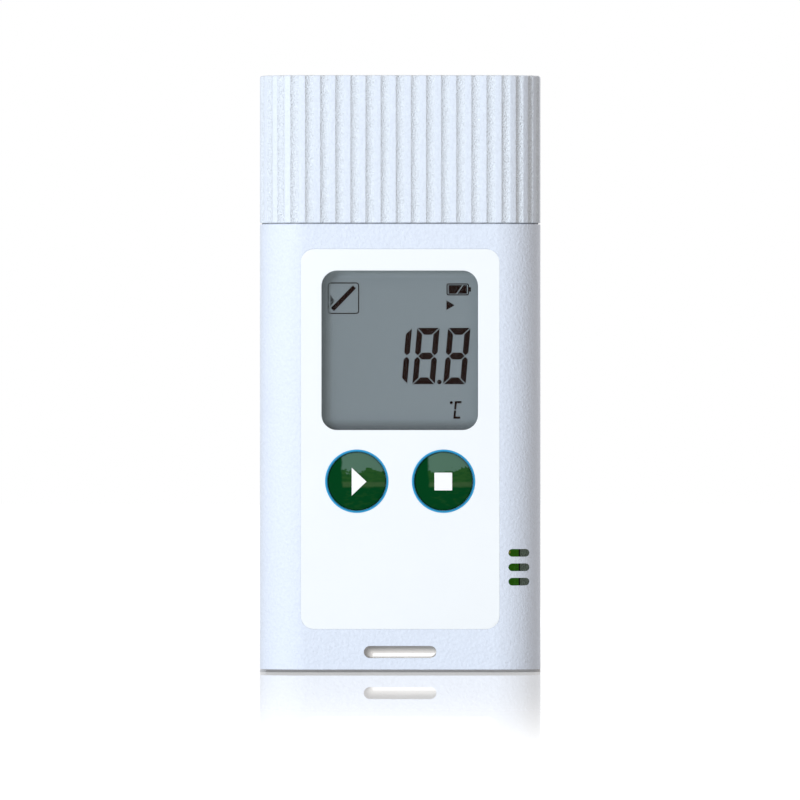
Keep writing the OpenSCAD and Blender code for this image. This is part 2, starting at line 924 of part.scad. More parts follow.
module circuit_board() {
    color(BOARD_GREEN)
    difference() {
        face_plate(0, board_foot + board_h / 2, board_w, board_h, board_r, board_y, board_back_y);
        for (p = screw_places)
            pin_y(p[0], p[1], board_hole_r, board_y - overrun, board_back_y + overrun);
    }
}

// The space of radius r behind a button's domed face, raised by out, y1 deep
module domed_pin(x, r, out, y1) {
    apex_y = front_y + dome_set - out;
    translate([x, y1, button_z])
        rotate([90, 0, 0])
            rotate_extrude()
                intersection() {
                    translate([0, y1 - apex_y - dome_r])
                        circle(r = dome_r, $fn = dome_fn);
                    square([r, y1 - apex_y]);
                }
}

// A button: domed cap, retaining flange and stem; its mark is let into its face
module button(x) {
    difference() {
        union() {
            domed_pin(x, button_r, 0, front_in_y + 2 * loose_fit);
            pin_y(x, button_z, button_r + flange_w, front_in_y + loose_fit,
                front_in_y + loose_fit + flange_t);
            pin_y(x, button_z, stem_r, front_in_y + loose_fit, plunger_y - slide_fit / 2);
        }
        facing(front_y - overrun, front_y + dome_set + mark_t)
            translate([x, button_z])
                children();
    }
}

// The mark of a button, from the floor of its recess to just above the face
module button_mark(x) {
    intersection() {
        facing(front_y - overrun, front_y + dome_set + mark_t)
            translate([x, button_z])
                children();
        domed_pin(x, button_r, mark_proud, front_in_y);
    }
}

// A triangle that points right, about the button's middle
module play_shape() {
    polygon([
        [-play_shift, play_h / 2], [play_w - play_shift, 0], [-play_shift, -play_h / 2]
    ]);
}

module stop_shape() {
    square(stop_w, center = true);
}

// The coloured ring that is inlaid round a button
module ring(x) {
    difference() {
        pin_y(x, button_z, ring_r, front_y, film_y);
        pin_y(x, button_z, button_hole_r, front_y - overrun, film_y + overrun);
    }
}

module start_button() {
    color(GREEN) button(-button_x) play_shape();
}

module start_mark() {
    color("white") button_mark(-button_x) play_shape();
}

module start_ring() {
    color(AZURE) ring(-button_x);
}

module stop_button() {
    color(GREEN) button(button_x) stop_shape();
}

module stop_mark() {
    color("white") button_mark(button_x) stop_shape();
}

module stop_ring() {
    color(AZURE) ring(button_x);
}

// A push switch on the board, with a well for its plunger
module switch_body(x) {
    difference() {
        face_plate(x, button_z, switch_w, switch_w, holder_wall, board_y - switch_t, board_y);
        pin_y(x, button_z, plunger_r + slide_fit, board_y - switch_t - overrun,
            board_y - switch_t + plunger_well);
    }
}

module plunger(x) {
    pin_y(x, button_z, plunger_r, plunger_y, board_y - switch_t + plunger_in);
}

module start_switch() {
    color(STEEL) switch_body(-button_x);
}

module start_plunger() {
    color(BLACK) plunger(-button_x);
}

module stop_switch() {
    color(STEEL) switch_body(button_x);
}

module stop_plunger() {
    color(BLACK) plunger(button_x);
}

// A bent lead in side view: its foot on the board, reaching inward to the chip
module lead_shape() {
    polygon([
        [0, 0], [lead_foot, 0], [lead_foot, lead_rise], [lead_reach, lead_rise],
        [lead_reach, lead_rise + lead_t], [lead_foot - lead_t, lead_rise + lead_t],
        [lead_foot - lead_t, lead_t], [0, lead_t]
    ]);
}

// A row of n leads of width w along x, feet outward, ending at the chip's edge
module lead_row(n, pitch, w, edge) {
    for (i = [0 : n - 1])
        translate([(i - (n - 1) / 2) * pitch + w / 2, board_back_y, edge + lead_reach])
            rotate([0, -90, 0])
                linear_extrude(w)
                    mirror([1, 0])
                        lead_shape();
}

module processor() {
    color(BLACK)
    face_plate(chip_x, chip_z, chip_w, chip_w, chip_r,
        board_back_y + loose_fit, board_back_y + loose_fit + chip_t);
}

module processor_leads() {
    color(STEEL)
    translate([chip_x, 0, chip_z])
        for (a = [0 : 90 : 270])
            rotate([0, a, 0])
                lead_row(chip_leads, lead_pitch, lead_w, chip_w / 2);
}

module memory_chip() {
    color(BLACK)
    face_plate(memory_x, chip_z, memory_w, memory_h, chip_r,
        board_back_y + loose_fit, board_back_y + loose_fit + memory_t);
}

module memory_leads() {
    color(STEEL)
    translate([memory_x, 0, chip_z])
        for (a = [90, 270])
            rotate([0, a, 0])
                lead_row(memory_leads_a_side, memory_pitch, memory_lead_w, memory_w / 2);
}

module watch_crystal() {
    color(STEEL)
    translate([crystal_x, board_back_y + crystal_r, chip_z - crystal_l / 2])
        cylinder(r = crystal_r, h = crystal_l);
}

module temperature_sensor() {
    color(BLACK)
    face_plate(sensor_x, vent_z, sensor_w, sensor_w, chip_r, board_y - sensor_t, board_y);
}

// A small two-ended part on one face of the board
module small_part(x, z, y0) {
    block([x - small_w / 2, y0, z - small_h / 2], [x + small_w / 2, y0 + small_t, z + small_h / 2]);
}

// Two columns of small parts: the first or second column on each face of the board
module small_columns(column) {
    x = column * small_pitch;
    for (i = [0 : smalls_a_column - 1]) {
        rise = (i - (smalls_a_column - 1) / 2) * small_pitch;
        small_part(rear_column_x + x, chip_z + rise, board_back_y);
        small_part(x, front_column_z - i * small_pitch, board_y - small_t);
    }
}

module capacitors() {
    color([0.62, 0.48, 0.33]) small_columns(0);
}

module resistors() {
    color(BLACK) small_columns(1);
}

module usb_plug_shell() {
    color(STEEL)
    difference() {
        union() {
            translate([0, 0, plug_root_z])
                linear_extrude(plug_tip_z - plug_root_z)
                    plan(plug_w, plug_d, plug_r);
            for (sx = [-1, 1])
                translate([sx * (plug_w - plug_sheet) / 2, 0, 0])
                    block([-plug_sheet / 2, board_back_y, plug_root_z - plug_leg_h],
                        [plug_sheet / 2, board_back_y + plug_leg_d, plug_root_z + plug_sheet]);
        }
        translate([0, 0, plug_root_z - overrun])
            linear_extrude(plug_tip_z - plug_root_z + 2 * overrun)
                plan(plug_w - 2 * plug_sheet, plug_d - 2 * plug_sheet, plug_r - plug_sheet);
        for (sx = [-1, 1])
            face_plate(sx * plug_hole_x, plug_tip_z - plug_hole_drop, plug_hole_w, plug_hole_h,
                plug_hole_r, -plug_d, plug_d);
    }
}

module usb_plug_tongue() {
    color("white")
    union() {
        block([-tongue_w / 2, -tongue_d / 2, plug_root_z],
            [tongue_w / 2, board_back_y, plug_tip_z - tongue_drop]);
        block([-tongue_w / 2, board_back_y + contact_t + slide_fit, plug_root_z],
            [tongue_w / 2, tongue_d / 2, plug_root_z + tongue_base_h]);
        for (sx = [-1, 1])
            translate([sx * (tongue_w - tongue_web) / 2, 0, 0])
                block([-tongue_web / 2, -tongue_d / 2, plug_root_z],
                    [tongue_web / 2, tongue_d / 2, plug_root_z + tongue_base_h]);
    }
}

module usb_contacts() {
    color(GOLD)
    for (x = contact_xs)
        block([x - contact_w / 2, board_back_y, plug_root_z - contact_tail],
            [x + contact_w / 2, board_back_y + contact_t, plug_tip_z - tongue_drop - contact_drop]);
}

module coin_cell() {
    color(STEEL)
    union() {
        pin_y(0, cell_z, cell_r - 2 * cell_rim, cell_y, cell_y + cell_rim);
        pin_y(0, cell_z, cell_r - cell_rim, cell_y + cell_step, cell_y + 2 * cell_rim);
        pin_y(0, cell_z, cell_r, cell_y + 2 * cell_step, cell_back_y);
    }
}

// A leaf spring on the board that presses on the cell's middle
module negative_contact() {
    rise = cell_y - board_back_y;
    color(GOLD)
    translate([-spring_w / 2, board_back_y, cell_z - spring_foot - spring_run])
        rotate([90, 0, 90])
            linear_extrude(spring_w)
                polygon([
                    [0, 0], [0, spring_foot], [rise - contact_sheet, spring_foot + spring_run],
                    [rise - contact_sheet, spring_foot + spring_run + spring_pad],
                    [rise, spring_foot + spring_run + spring_pad], [rise, spring_foot + spring_run],
                    [contact_sheet, spring_foot], [contact_sheet, 0]
                ]);
}

// An angle on the board that touches the cell's rim
module positive_contact() {
    z0 = cell_z + cell_r + tab_gap;
    color(GOLD)
    union() {
        block([-tab_w / 2, board_back_y, z0],
            [tab_w / 2, cell_back_y - tab_short, z0 + contact_sheet]);
        block([-tab_w / 2, board_back_y, z0], [tab_w / 2, board_back_y + contact_sheet, z0 + tab_foot]);
    }
}

module battery_cover() {
    color(WHITE)
    difference() {
        union() {
            pin_y(0, cell_z, cover_r, cover_seat_y + slide_fit, rear_y);
            pin_y(0, cell_z, hub_r, lug_y, rear_y - cover_t / 2);
            lugs(0, lug_angle, lug_r, lug_y, lug_y + lug_t);
        }
        pin_y(0, cell_z, hub_r - hub_wall, lug_y - overrun,
            rear_y - coin_slot_depth - hub_floor);
        facing(rear_y - coin_slot_depth, rear_y + overrun)
            translate([0, cell_z])
                slot_shape(coin_slot_l, coin_slot_w);
    }
}

module rear_label() {
    color([0.95, 0.95, 0.94])
    face_plate(0, label_z, label_w, label_h, label_r, rear_y - label_t, rear_y);
}

module case_screws() {
    color(STEEL)
    for (p = screw_places)
        difference() {
            union() {
                pin_y(p[0], p[1], screw_d / 2, screw_tip_y, head_seat_y + head_t / 2);
                pin_y(p[0], p[1], head_d / 2, head_seat_y, head_seat_y + head_t);
            }
            for (w = [0, 90])
                translate([p[0], head_seat_y + head_t, p[1]])
                    rotate([0, w, 0])
                        cube([head_slot_l, 2 * head_slot_depth, head_slot], center = true);
        }
}

front_shell();
rear_shell();
usb_cap();
front_overlay();
window_lens();
lcd_polarizer();
lcd_front_glass();
lcd_segments();
lcd_rear_glass();
lcd_reflector();
lcd_holder();
zebra_strip();
circuit_board();
start_button();
start_mark();
start_ring();
stop_button();
stop_mark();
stop_ring();
start_switch();
start_plunger();
stop_switch();
stop_plunger();
processor();
processor_leads();
memory_chip();
memory_leads();
watch_crystal();
temperature_sensor();
capacitors();
resistors();
usb_plug_shell();
usb_plug_tongue();
usb_contacts();
coin_cell();
negative_contact();
positive_contact();
battery_cover();
rear_label();
case_screws();
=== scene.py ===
"""The looks of a pocket temperature data logger, built around its packed construction model.

Shapes are formed in millimetres and scaled to metres when a piece is seated. The front faces -Y,
+Z is up, and the origin is the middle of the base.
"""

import json
import logging
import math
from dataclasses import dataclass, replace
from enum import Enum
from itertools import pairwise
from typing import Callable, Iterable, Protocol, Sequence

import bmesh
import bpy
from mathutils import Matrix, Vector

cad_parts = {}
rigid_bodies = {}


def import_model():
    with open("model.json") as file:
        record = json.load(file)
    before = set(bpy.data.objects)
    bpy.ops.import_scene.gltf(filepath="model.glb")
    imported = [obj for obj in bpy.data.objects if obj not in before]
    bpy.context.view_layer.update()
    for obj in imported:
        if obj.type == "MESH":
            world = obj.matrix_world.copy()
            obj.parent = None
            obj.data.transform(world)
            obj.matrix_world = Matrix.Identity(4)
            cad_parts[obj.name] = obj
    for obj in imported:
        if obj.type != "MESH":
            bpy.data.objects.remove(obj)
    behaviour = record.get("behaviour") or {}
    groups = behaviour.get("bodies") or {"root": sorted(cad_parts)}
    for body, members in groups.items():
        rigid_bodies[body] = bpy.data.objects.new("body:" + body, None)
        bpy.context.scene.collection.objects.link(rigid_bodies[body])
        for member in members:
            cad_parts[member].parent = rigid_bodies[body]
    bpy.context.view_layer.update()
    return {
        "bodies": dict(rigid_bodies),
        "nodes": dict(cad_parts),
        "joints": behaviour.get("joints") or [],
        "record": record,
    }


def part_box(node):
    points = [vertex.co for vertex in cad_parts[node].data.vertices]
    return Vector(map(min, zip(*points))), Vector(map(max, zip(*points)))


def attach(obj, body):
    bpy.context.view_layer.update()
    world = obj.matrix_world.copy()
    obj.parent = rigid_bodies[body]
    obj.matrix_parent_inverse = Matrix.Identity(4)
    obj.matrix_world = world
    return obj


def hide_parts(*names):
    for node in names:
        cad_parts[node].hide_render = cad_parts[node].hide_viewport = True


LOG = logging.getLogger("logger_scene")
MM = 0.001
OVERRUN = 1.0  # how far a cutter runs past what it cuts, in millimetres
Point = tuple[float, float]
Colour = tuple[float, float, float]
Run = list[tuple[float, float]]
Values = dict[str, float | tuple[float, ...]]

# Sizes that more than one sub-assembly goes by, in millimetres.
OVERLAY_CORNER = 1.9
LENS_CORNER = 2.2
LABEL_CORNER = 1.5
SCREW_HEAD = 1.8
SCREW_HEAD_HEIGHT = 1.2
WALL = 1.5


class Cut(Enum):
    """How a tool changes the piece that it is applied to."""

    AWAY = "DIFFERENCE"
    JOIN = "UNION"
    WITHIN = "INTERSECT"


class Side(Enum):
    """One half of the case: its sign along the depth."""

    FRONT = -1
    REAR = 1


class Facing(Enum):
    """The way an outline is seen: from the front, or from above."""

    FRONT = "front"
    PLAN = "plan"

    def place(self, u: float, v: float, level: float) -> Vector:
        """Put a point of an outline on its plane at a level."""
        return Vector((u, level, v)) if self is Facing.FRONT else Vector((u, v, level))


class Sketch(Protocol):
    """Anything that draws one closed ring of points."""

    def ring(self, inset: float) -> list[Point]:
        """Draw the ring, drawn in by an inset."""
        ...


@dataclass(frozen=True)
class Box:
    """The box of a node of the construction model, in millimetres."""

    low: Vector
    high: Vector

    @classmethod
    def of(cls, node: str) -> "Box":
        """Measure a node."""
        low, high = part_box(node)
        return cls(low / MM, high / MM)

    @property
    def size(self) -> Vector:
        """Width, depth and height."""
        return self.high - self.low

    @property
    def middle(self) -> Vector:
        """The middle of the box."""
        return (self.low + self.high) / 2


@dataclass(frozen=True)
class Outline:
    """A rounded rectangle, a slot or a disc."""

    width: float
    height: float
    radius: float
    u: float = 0.0
    v: float = 0.0
    steps: int = 10

    @classmethod
    def disc(cls, radius: float, u: float = 0.0, v: float = 0.0, steps: int = 18) -> "Outline":
        """Draw a disc."""
        return cls(2 * radius, 2 * radius, radius, u, v, steps)

    @classmethod
    def slot(cls, width: float, height: float, u: float = 0.0, v: float = 0.0) -> "Outline":
        """Draw a slot with round ends."""
        return cls(width, height, height / 2, u, v, 12)

    def grown(self, by: float) -> "Outline":
        """Give the same outline, larger all round."""
        return Outline(self.width + 2 * by, self.height + 2 * by, self.radius + by,
                       self.u, self.v, self.steps)

    def ring(self, inset: float = 0.0) -> list[Point]:
        """Draw the ring counter-clockwise, drawn in by an inset.

        Args:
            inset: How far each side moves inward; a negative inset moves it outward.

        Returns:
            The points of the ring, as many for every inset.
        """
        half_u = self.width / 2 - self.radius
        half_v = self.height / 2 - self.radius
        radius = self.radius - inset
        points = []
        for corner, (su, sv) in enumerate(((1, 1), (-1, 1), (-1, -1), (1, -1))):
            gap = half_v if corner % 2 == 0 else half_u
            for k in range(0 if gap > 1e-6 else 1, self.steps + 1):
                angle = (corner + k / self.steps) * math.pi / 2
                points.append((self.u + su * half_u + radius * math.cos(angle),
                               self.v + sv * half_v + radius * math.sin(angle)))
        return points


@dataclass(frozen=True)
class Corners:
    """A polygon with sharp corners, given counter-clockwise about its own place."""

    points: tuple[Point, ...]
    u: float = 0.0
    v: float = 0.0

    def ring(self, inset: float = 0.0) -> list[Point]:
        """Draw the polygon with each side moved inward by an inset.

        Args:
            inset: How far each side moves inward; a negative inset moves it outward.

        Returns:
            One point for each corner.
        """
        count = len(self.points)
        moved = []
        for i in range(count):
            before, here, after = (Vector(self.points[(i + k) % count]) for k in (-1, 0, 1))
            into, out = (here - before).normalized(), (after - here).normalized()
            normal_in, normal_out = Vector((-into.y, into.x)), Vector((-out.y, out.x))
            mitre = (normal_in + normal_out) / (1 + normal_in.dot(normal_out))
            place = here + inset * mitre
            moved.append((self.u + place.x, self.v + place.y))
        return moved


@dataclass(frozen=True)
class LeaningSlot:
    """A slot whose rings move to one side as they draw in, so that its walls lean."""

    outline: Outline
    lean: Point

    def ring(self, inset: float = 0.0) -> list[Point]:
        """Draw the ring, drawn in by an inset and moved along with it.

        Args:
            inset: How far the walls have drawn in.

        Returns:
            The points of the ring.
        """
        drift = max(inset, 0.0)
        return [(u + self.lean[0] * drift, v + self.lean[1] * drift)
                for u, v in self.outline.ring(inset)]


def straight(low: float, high: float) -> Run:
    """Lay out the stations of a plain straight run."""
    return [(low, 0.0), (high, 0.0)]


def eased_run(low: float, high: float, ease_low: float, ease_high: float, steps: int = 4) -> Run:
    """Lay out the stations of a straight run whose two ends are rounded.

    Args:
        low: Where the run starts.
        high: Where the run ends.
        ease_low: Radius of the rounding at the start; nothing is rounded at zero.
        ease_high: Radius of the rounding at the end.
        steps: Stations in each rounding.

    Returns:
        Pairs of place and inset.
    """
    run: Run = []
    for end, ease, way in ((low, ease_low, 1), (high, ease_high, -1)):
        arc = [(end + way * ease * (1 - math.cos(a)), ease * (1 - math.sin(a)))
               for a in (k / steps * math.pi / 2 for k in range(steps + 1))]
        if ease == 0:
            arc = [(end, 0.0)]
        run += arc if way > 0 else arc[::-1]
    return run


def flared_run(face: float, far: float, ease: float, steps: int = 5) -> Run:
    """Lay out the stations of a hole's cutter whose rim is rounded at the face.

    Args:
        face: Where the surface is that the hole starts in.
        far: Where the cutter ends.
        ease: Radius of the rounded rim.
        steps: Stations in the rounding.

    Returns:
        Pairs of place and inset, from outside the face inward.
    """
    way = 1 if far > face else -1
    run: Run = [(face - way * OVERRUN, -ease)]
    for k in range(steps + 1):
        a = k / steps * math.pi / 2
        run.append((face + way * ease * (1 - math.cos(a)), -ease * (1 - math.sin(a))))
    return run + [(far, 0.0)]


class Former:
    """Forms one mesh in millimetres, ring by ring."""

    def __init__(self) -> None:
        """Start with an empty mesh."""
        self.mesh = bmesh.new()

    def loop(self, points: Iterable[Vector]) -> list[bmesh.types.BMVert]:
        """Add a ring of vertices."""
        return [self.mesh.verts.new(p) for p in points]

    def bridge(self, low: list, high: list) -> None:
        """Join two rings with a band of faces.

        Args:
            low: One ring.
            high: The next ring, with as many points.
        """
        for i in range(len(low)):
            j = (i + 1) % len(low)
            self.mesh.faces.new((low[i], low[j], high[j], high[i]))

    def skin(self, loops: Sequence[list], ends: bool = True) -> None:
        """Join each ring to the next, and close both ends if they are wanted.

        Args:
            loops: The rings, in order.
            ends: Whether both ends are closed.
        """
        for low, high in pairwise(loops):
            self.bridge(low, high)
        if ends:
            self.mesh.faces.new(loops[0])
            self.mesh.faces.new(loops[-1])

    def rings(self, facing: Facing, sketch: Sketch, run: Run, sign: int = 1) -> list[list]:
        """Add the rings of an outline along a run; a hole's insets count the other way."""
        return [self.loop(facing.place(u, v, level) for u, v in sketch.ring(sign * inset))
                for level, inset in run]

    def stack(self, facing: Facing, sketch: Sketch, run: Run, closed: bool = False) -> "Former":
        """Pile rings of one outline on each other.

        Args:
            facing: The way the outline is seen.
            sketch: The outline.
            run: Pairs of level and inset.
            closed: Join the last ring to the first, and leave the ends open.

        Returns:
            This former.
        """
        loops = self.rings(facing, sketch, run)
        self.skin(loops, ends=not closed)
        if closed:
            self.bridge(loops[-1], loops[0])
        return self

    def block(self, low: Sequence[float], high: Sequence[float]) -> "Former":
        """Add a box between two corners, as the body of a cutter.

        Args:
            low: Its lowest corner.
            high: Its highest corner.

        Returns:
            This former.
        """
        width, depth = high[0] - low[0], high[1] - low[1]
        plan = Corners(((0, 0), (width, 0), (width, depth), (0, depth)), low[0], low[1])
        return self.stack(Facing.PLAN, plan, straight(low[2], high[2]))

    def plate(self, facing: Facing, outer: Sketch, holes: Sequence[Sketch], run: Run) -> "Former":
        """Add a flat plate with rounded rims and holes through it.

        Args:
            facing: The way the plate is seen.
            outer: Its outline.
            holes: The outlines of its holes.
            run: Pairs of level and inset for every rim.

        Returns:
            This former.
        """
        ends: tuple[list, list] = ([], [])
        for sketch, sign in [(outer, 1)] + [(hole, -1) for hole in holes]:
            loops = self.rings(facing, sketch, run, sign)
            self.skin(loops, ends=False)
            ends[0].append(loops[0])
            ends[1].append(loops[-1])
        for rims in ends:
            edges = [self.mesh.edges.get((a, b)) for rim in rims
                     for a, b in zip(rim, rim[1:] + rim[:1])]
            bmesh.ops.triangle_fill(self.mesh, edges=edges, use_beauty=True)
        return self

    def turned(self, profile: Sequence[Point], u: float, v: float, steps: int = 72) -> "Former":
        """Add a solid that is turned about an axis along the depth.

        Args:
            profile: Pairs of radius and level, from the front to the back.
            u: Where the axis is from side to side.
            v: Where the axis is in height.
            steps: Faces round the axis.

        Returns:
            This former.
        """
        loops = []
        for radius, level in profile:
            angles = (2 * math.pi * k / steps for k in range(steps))
            loops.append(self.loop(Vector((u + radius * math.cos(a), level,
                                           v + radius * math.sin(a))) for a in angles))
        self.skin(loops)
        return self

    def halve(self, side: Side) -> "Former":
        """Keep only one side of the parting plane, and close the cut.

        Args:
            side: The side that is kept.

        Returns:
            This former.
        """
        geometry = self.mesh.verts[:] + self.mesh.edges[:] + self.mesh.faces[:]
        bmesh.ops.bisect_plane(self.mesh, geom=geometry, plane_co=(0, 0, 0),
                               plane_no=(0, -side.value, 0), clear_outer=True)
        rim = [edge for edge in self.mesh.edges if edge.is_boundary]
        bmesh.ops.triangle_fill(self.mesh, edges=rim, use_beauty=True)
        return self

    def made(self, name: str) -> bpy.types.Object:
        """Turn what was formed into an object.

        Args:
            name: The object's name.

        Returns:
            The object, in millimetres.
        """
        bmesh.ops.recalc_face_normals(self.mesh, faces=self.mesh.faces)
        data = bpy.data.meshes.new(name)
        self.mesh.to_mesh(data)
        self.mesh.free()
        thing = bpy.data.objects.new(name, data)
        bpy.context.scene.collection.objects.link(thing)
        return thing


def prism(sketch: Sketch, run: Run) -> Former:
    """Form an outline that runs along the depth."""
    return Former().stack(Facing.FRONT, sketch, run)


def settle(thing: bpy.types.Object) -> None:
    """Turn an object's modifiers into its own mesh.

    Args:
        thing: The object, which gets a new mesh.
    """
    bpy.context.view_layer.update()
    graph = bpy.context.evaluated_depsgraph_get()
    data = bpy.data.meshes.new_from_object(thing.evaluated_get(graph))
    old = thing.data
    thing.modifiers.clear()
    thing.data = data
    bpy.data.meshes.remove(old)


def carve(piece: bpy.types.Object, how: Cut,
          *tools: "Former | bpy.types.Object") -> bpy.types.Object:
    """Cut tools out of a piece, or join them to it.

    Args:
        piece: The piece that changes.
        how: Whether the tools are cut away or joined.
        tools: What is cut away or joined, one after the other.

    Returns:
        The piece.
    """
    for tool in tools:
        shape = tool.made("tool") if isinstance(tool, Former) else tool
        change = piece.modifiers.new("carve", "BOOLEAN")
        change.operation = how.value
        change.solver = "EXACT"
        change.object = shape
        settle(piece)
        bpy.data.objects.remove(shape)
    return piece


class Signal:
    """A socket of a shader graph that ordinary arithmetic works on."""

    def __init__(self, graph: "Graph", socket: bpy.types.NodeSocket) -> None:
        """Wrap a socket."""
        self.graph = graph
        self.socket = socket

    def _math(self, operation: str, *values: "Signal | float") -> "Signal":
        """Add one Math node.

        Args:
            operation: What the node does.
            values: Its one or two inputs.

        Returns:
            The node's result.
        """
        names = ("Value", "Value_001")
        node = self.graph.node("ShaderNodeMath", {"operation": operation}, dict(zip(names, values)))
        return Signal(self.graph, node.outputs[0])

    def __add__(self, other: "Signal | float") -> "Signal":
        """Add."""
        return self._math("ADD", self, other)

    def __radd__(self, other: float) -> "Signal":
        """Add, from the right."""
        return self._math("ADD", other, self)

    def __sub__(self, other: "Signal | float") -> "Signal":
        """Subtract."""
        return self._math("SUBTRACT", self, other)

    def __rsub__(self, other: float) -> "Signal":
        """Subtract from a number."""
        return self._math("SUBTRACT", other, self)

    def __mul__(self, other: "Signal | float") -> "Signal":
        """Multiply."""
        return self._math("MULTIPLY", self, other)

    def __rmul__(self, other: float) -> "Signal":
        """Multiply, from the right."""
        return self._math("MULTIPLY", other, self)

    def __truediv__(self, other: "Signal | float") -> "Signal":
        """Divide."""
        return self._math("DIVIDE", self, other)

    def __rtruediv__(self, other: float) -> "Signal":
        """Divide a number by this."""
        return self._math("DIVIDE", other, self)

    def __abs__(self) -> "Signal":
        """Take the size without the sign."""
        return self._math("ABSOLUTE", self)

    def __pow__(self, other: "Signal | float") -> "Signal":
        """Raise to a power."""
        return self._math("POWER", self, other)

    def most(self, other: "Signal | float") -> "Signal":
        """Take the larger of two."""
        return self._math("MAXIMUM", self, other)

    def least(self, other: "Signal | float") -> "Signal":
        """Take the smaller of two."""
        return self._math("MINIMUM", self, other)

    def above(self, limit: "Signal | float") -> "Signal":
        """Give one where this is above a limit, and zero elsewhere."""
        return self._math("GREATER_THAN", self, limit)

    def rise(self, low: float, high: float) -> "Signal":
        """Give a smooth step from zero at low to one at high.

        Args:
            low: Where the step starts.
            high: Where it ends.

        Returns:
            The step.
        """
        node = self.graph.node("ShaderNodeMapRange", {"interpolation_type": "SMOOTHSTEP"},
                               {"Value": self, "From Min": low, "From Max": high})
        return Signal(self.graph, node.outputs[0])


class Graph:
    """The nodes of one material or of the world."""

    def __init__(self, tree: bpy.types.NodeTree) -> None:
        """Start on an empty tree."""
        self.tree = tree
        tree.nodes.clear()

    def node(self, kind: str, settings: dict | None = None,
             sockets: dict | None = None) -> bpy.types.Node:
        """Add a node.

        Args:
            kind: The node's type.
            settings: Its properties, set first.
            sockets: Values or links of its inputs, by identifier or name.

        Returns:
            The node.
        """
        node = self.tree.nodes.new(kind)
        for name, value in (settings or {}).items():
            setattr(node, name, value)
        for name, value in (sockets or {}).items():
            named = [s for s in node.inputs if s.identifier == name]
            socket = named[0] if named else node.inputs[name]
            if isinstance(value, Signal):
                self.tree.links.new(value.socket, socket)
            else:
                socket.default_value = value
        return node

    def signal(self, node: bpy.types.Node, output: int | str = 0) -> Signal:
        """Take an output of a node."""
        return Signal(self, node.outputs[output])

    def place(self) -> Signal:
        """Take the place on the object, in metres."""
        return self.signal(self.node("ShaderNodeTexCoord"), "Object")

    def axes(self) -> tuple[Signal, Signal, Signal]:
        """Take the place on the object as three numbers, in millimetres.

        Returns:
            The place from side to side, along the depth and in height.
        """
        parts = self.node("ShaderNodeSeparateXYZ", sockets={"Vector": self.place()})
        x, y, z = (self.signal(parts, i) / MM for i in range(3))
        return x, y, z

    def stretched(self, scale: Sequence[float]) -> Signal:
        """Take the place on the object, scaled along each axis.

        Args:
            scale: A factor for each axis.

        Returns:
            The scaled place.
        """
        node = self.node("ShaderNodeVectorMath", {"operation": "MULTIPLY"},
                         {"Vector": self.place(), "Vector_001": scale})
        return self.signal(node)

    def noise(self, size: float, detail: float = 2.0, rough: float = 0.5,
              where: Signal | None = None) -> Signal:
        """Add a noise.

        Args:
            size: Size of its grain in millimetres.
            detail: Octaves of finer grain.
            rough: How strong the finer grain is.
            where: The place that it is read at, if not the place on the object.

        Returns:
            A number from zero to one, near a half on average.
        """
        node = self.node("ShaderNodeTexNoise", None,
                         {"Vector": where or self.place(), "Scale": 1 / (size * MM),
                          "Detail": detail, "Roughness": rough})
        return self.signal(node, 0)

    def mix(self, factor: Signal | float, first: Signal | Colour,
            second: Signal | Colour) -> Signal:
        """Mix two colours.

        Args:
            factor: How much of the second colour shows.
            first: The colour at a factor of zero.
            second: The colour at a factor of one.

        Returns:
            The mixed colour.
        """
        first, second = ((*c, 1.0) if isinstance(c, tuple) else c for c in (first, second))
        node = self.node("ShaderNodeMix", {"data_type": "RGBA"},
                         {"Factor_Float": factor, "A_Color": first, "B_Color": second})
        return self.signal(node, 2)

    def bump(self, height: Signal, strength: float, distance: float) -> Signal:
        """Turn a height into a normal; distance is in millimetres."""
        sockets = {"Height": height, "Strength": strength, "Distance": distance * MM}
        return self.signal(self.node("ShaderNodeBump", None, sockets))


def srgb(red: float, green: float, blue: float) -> Colour:
    """Turn a colour written from 0 to 255 into linear light."""
    return tuple(c / 12.92 if c <= 0.04045 else ((c + 0.055) / 1.055) ** 2.4
                 for c in (red / 255, green / 255, blue / 255))


@dataclass(frozen=True)
class Finish:
    """A finish with one surface shader; each kind paints its own colour and relief."""

    name: str
    colour: Colour
    roughness: float = 0.5

    def material(self) -> bpy.types.Material:
        """Make the material.

        Returns:
            The material.
        """
        material = bpy.data.materials.new(self.name)
        material.use_nodes = True
        graph = Graph(material.node_tree)
        shader = graph.node("ShaderNodeBsdfPrincipled", None,
                            {"Roughness": self.roughness, **self.constants()})
        for socket, value in self.paint(graph).items():
            graph.tree.links.new(value.socket, shader.inputs[socket])
        graph.node("ShaderNodeOutputMaterial", None, {"Surface": graph.signal(shader)})
        return material

    def toned(self, by: float) -> Colour:
        """Give the finish's colour, made darker or lighter by a factor."""
        return tuple(by * c for c in self.colour)

    def constants(self) -> Values:
        """Give what is the same all over the surface, by the shader's socket."""
        return {}

    def paint(self, graph: Graph) -> dict[str, Signal]:
        """Give what changes over the surface, by the shader's socket."""
        return {"Base Color": graph.mix(graph.noise(4.0, 3.0), self.colour, self.toned(0.94))}


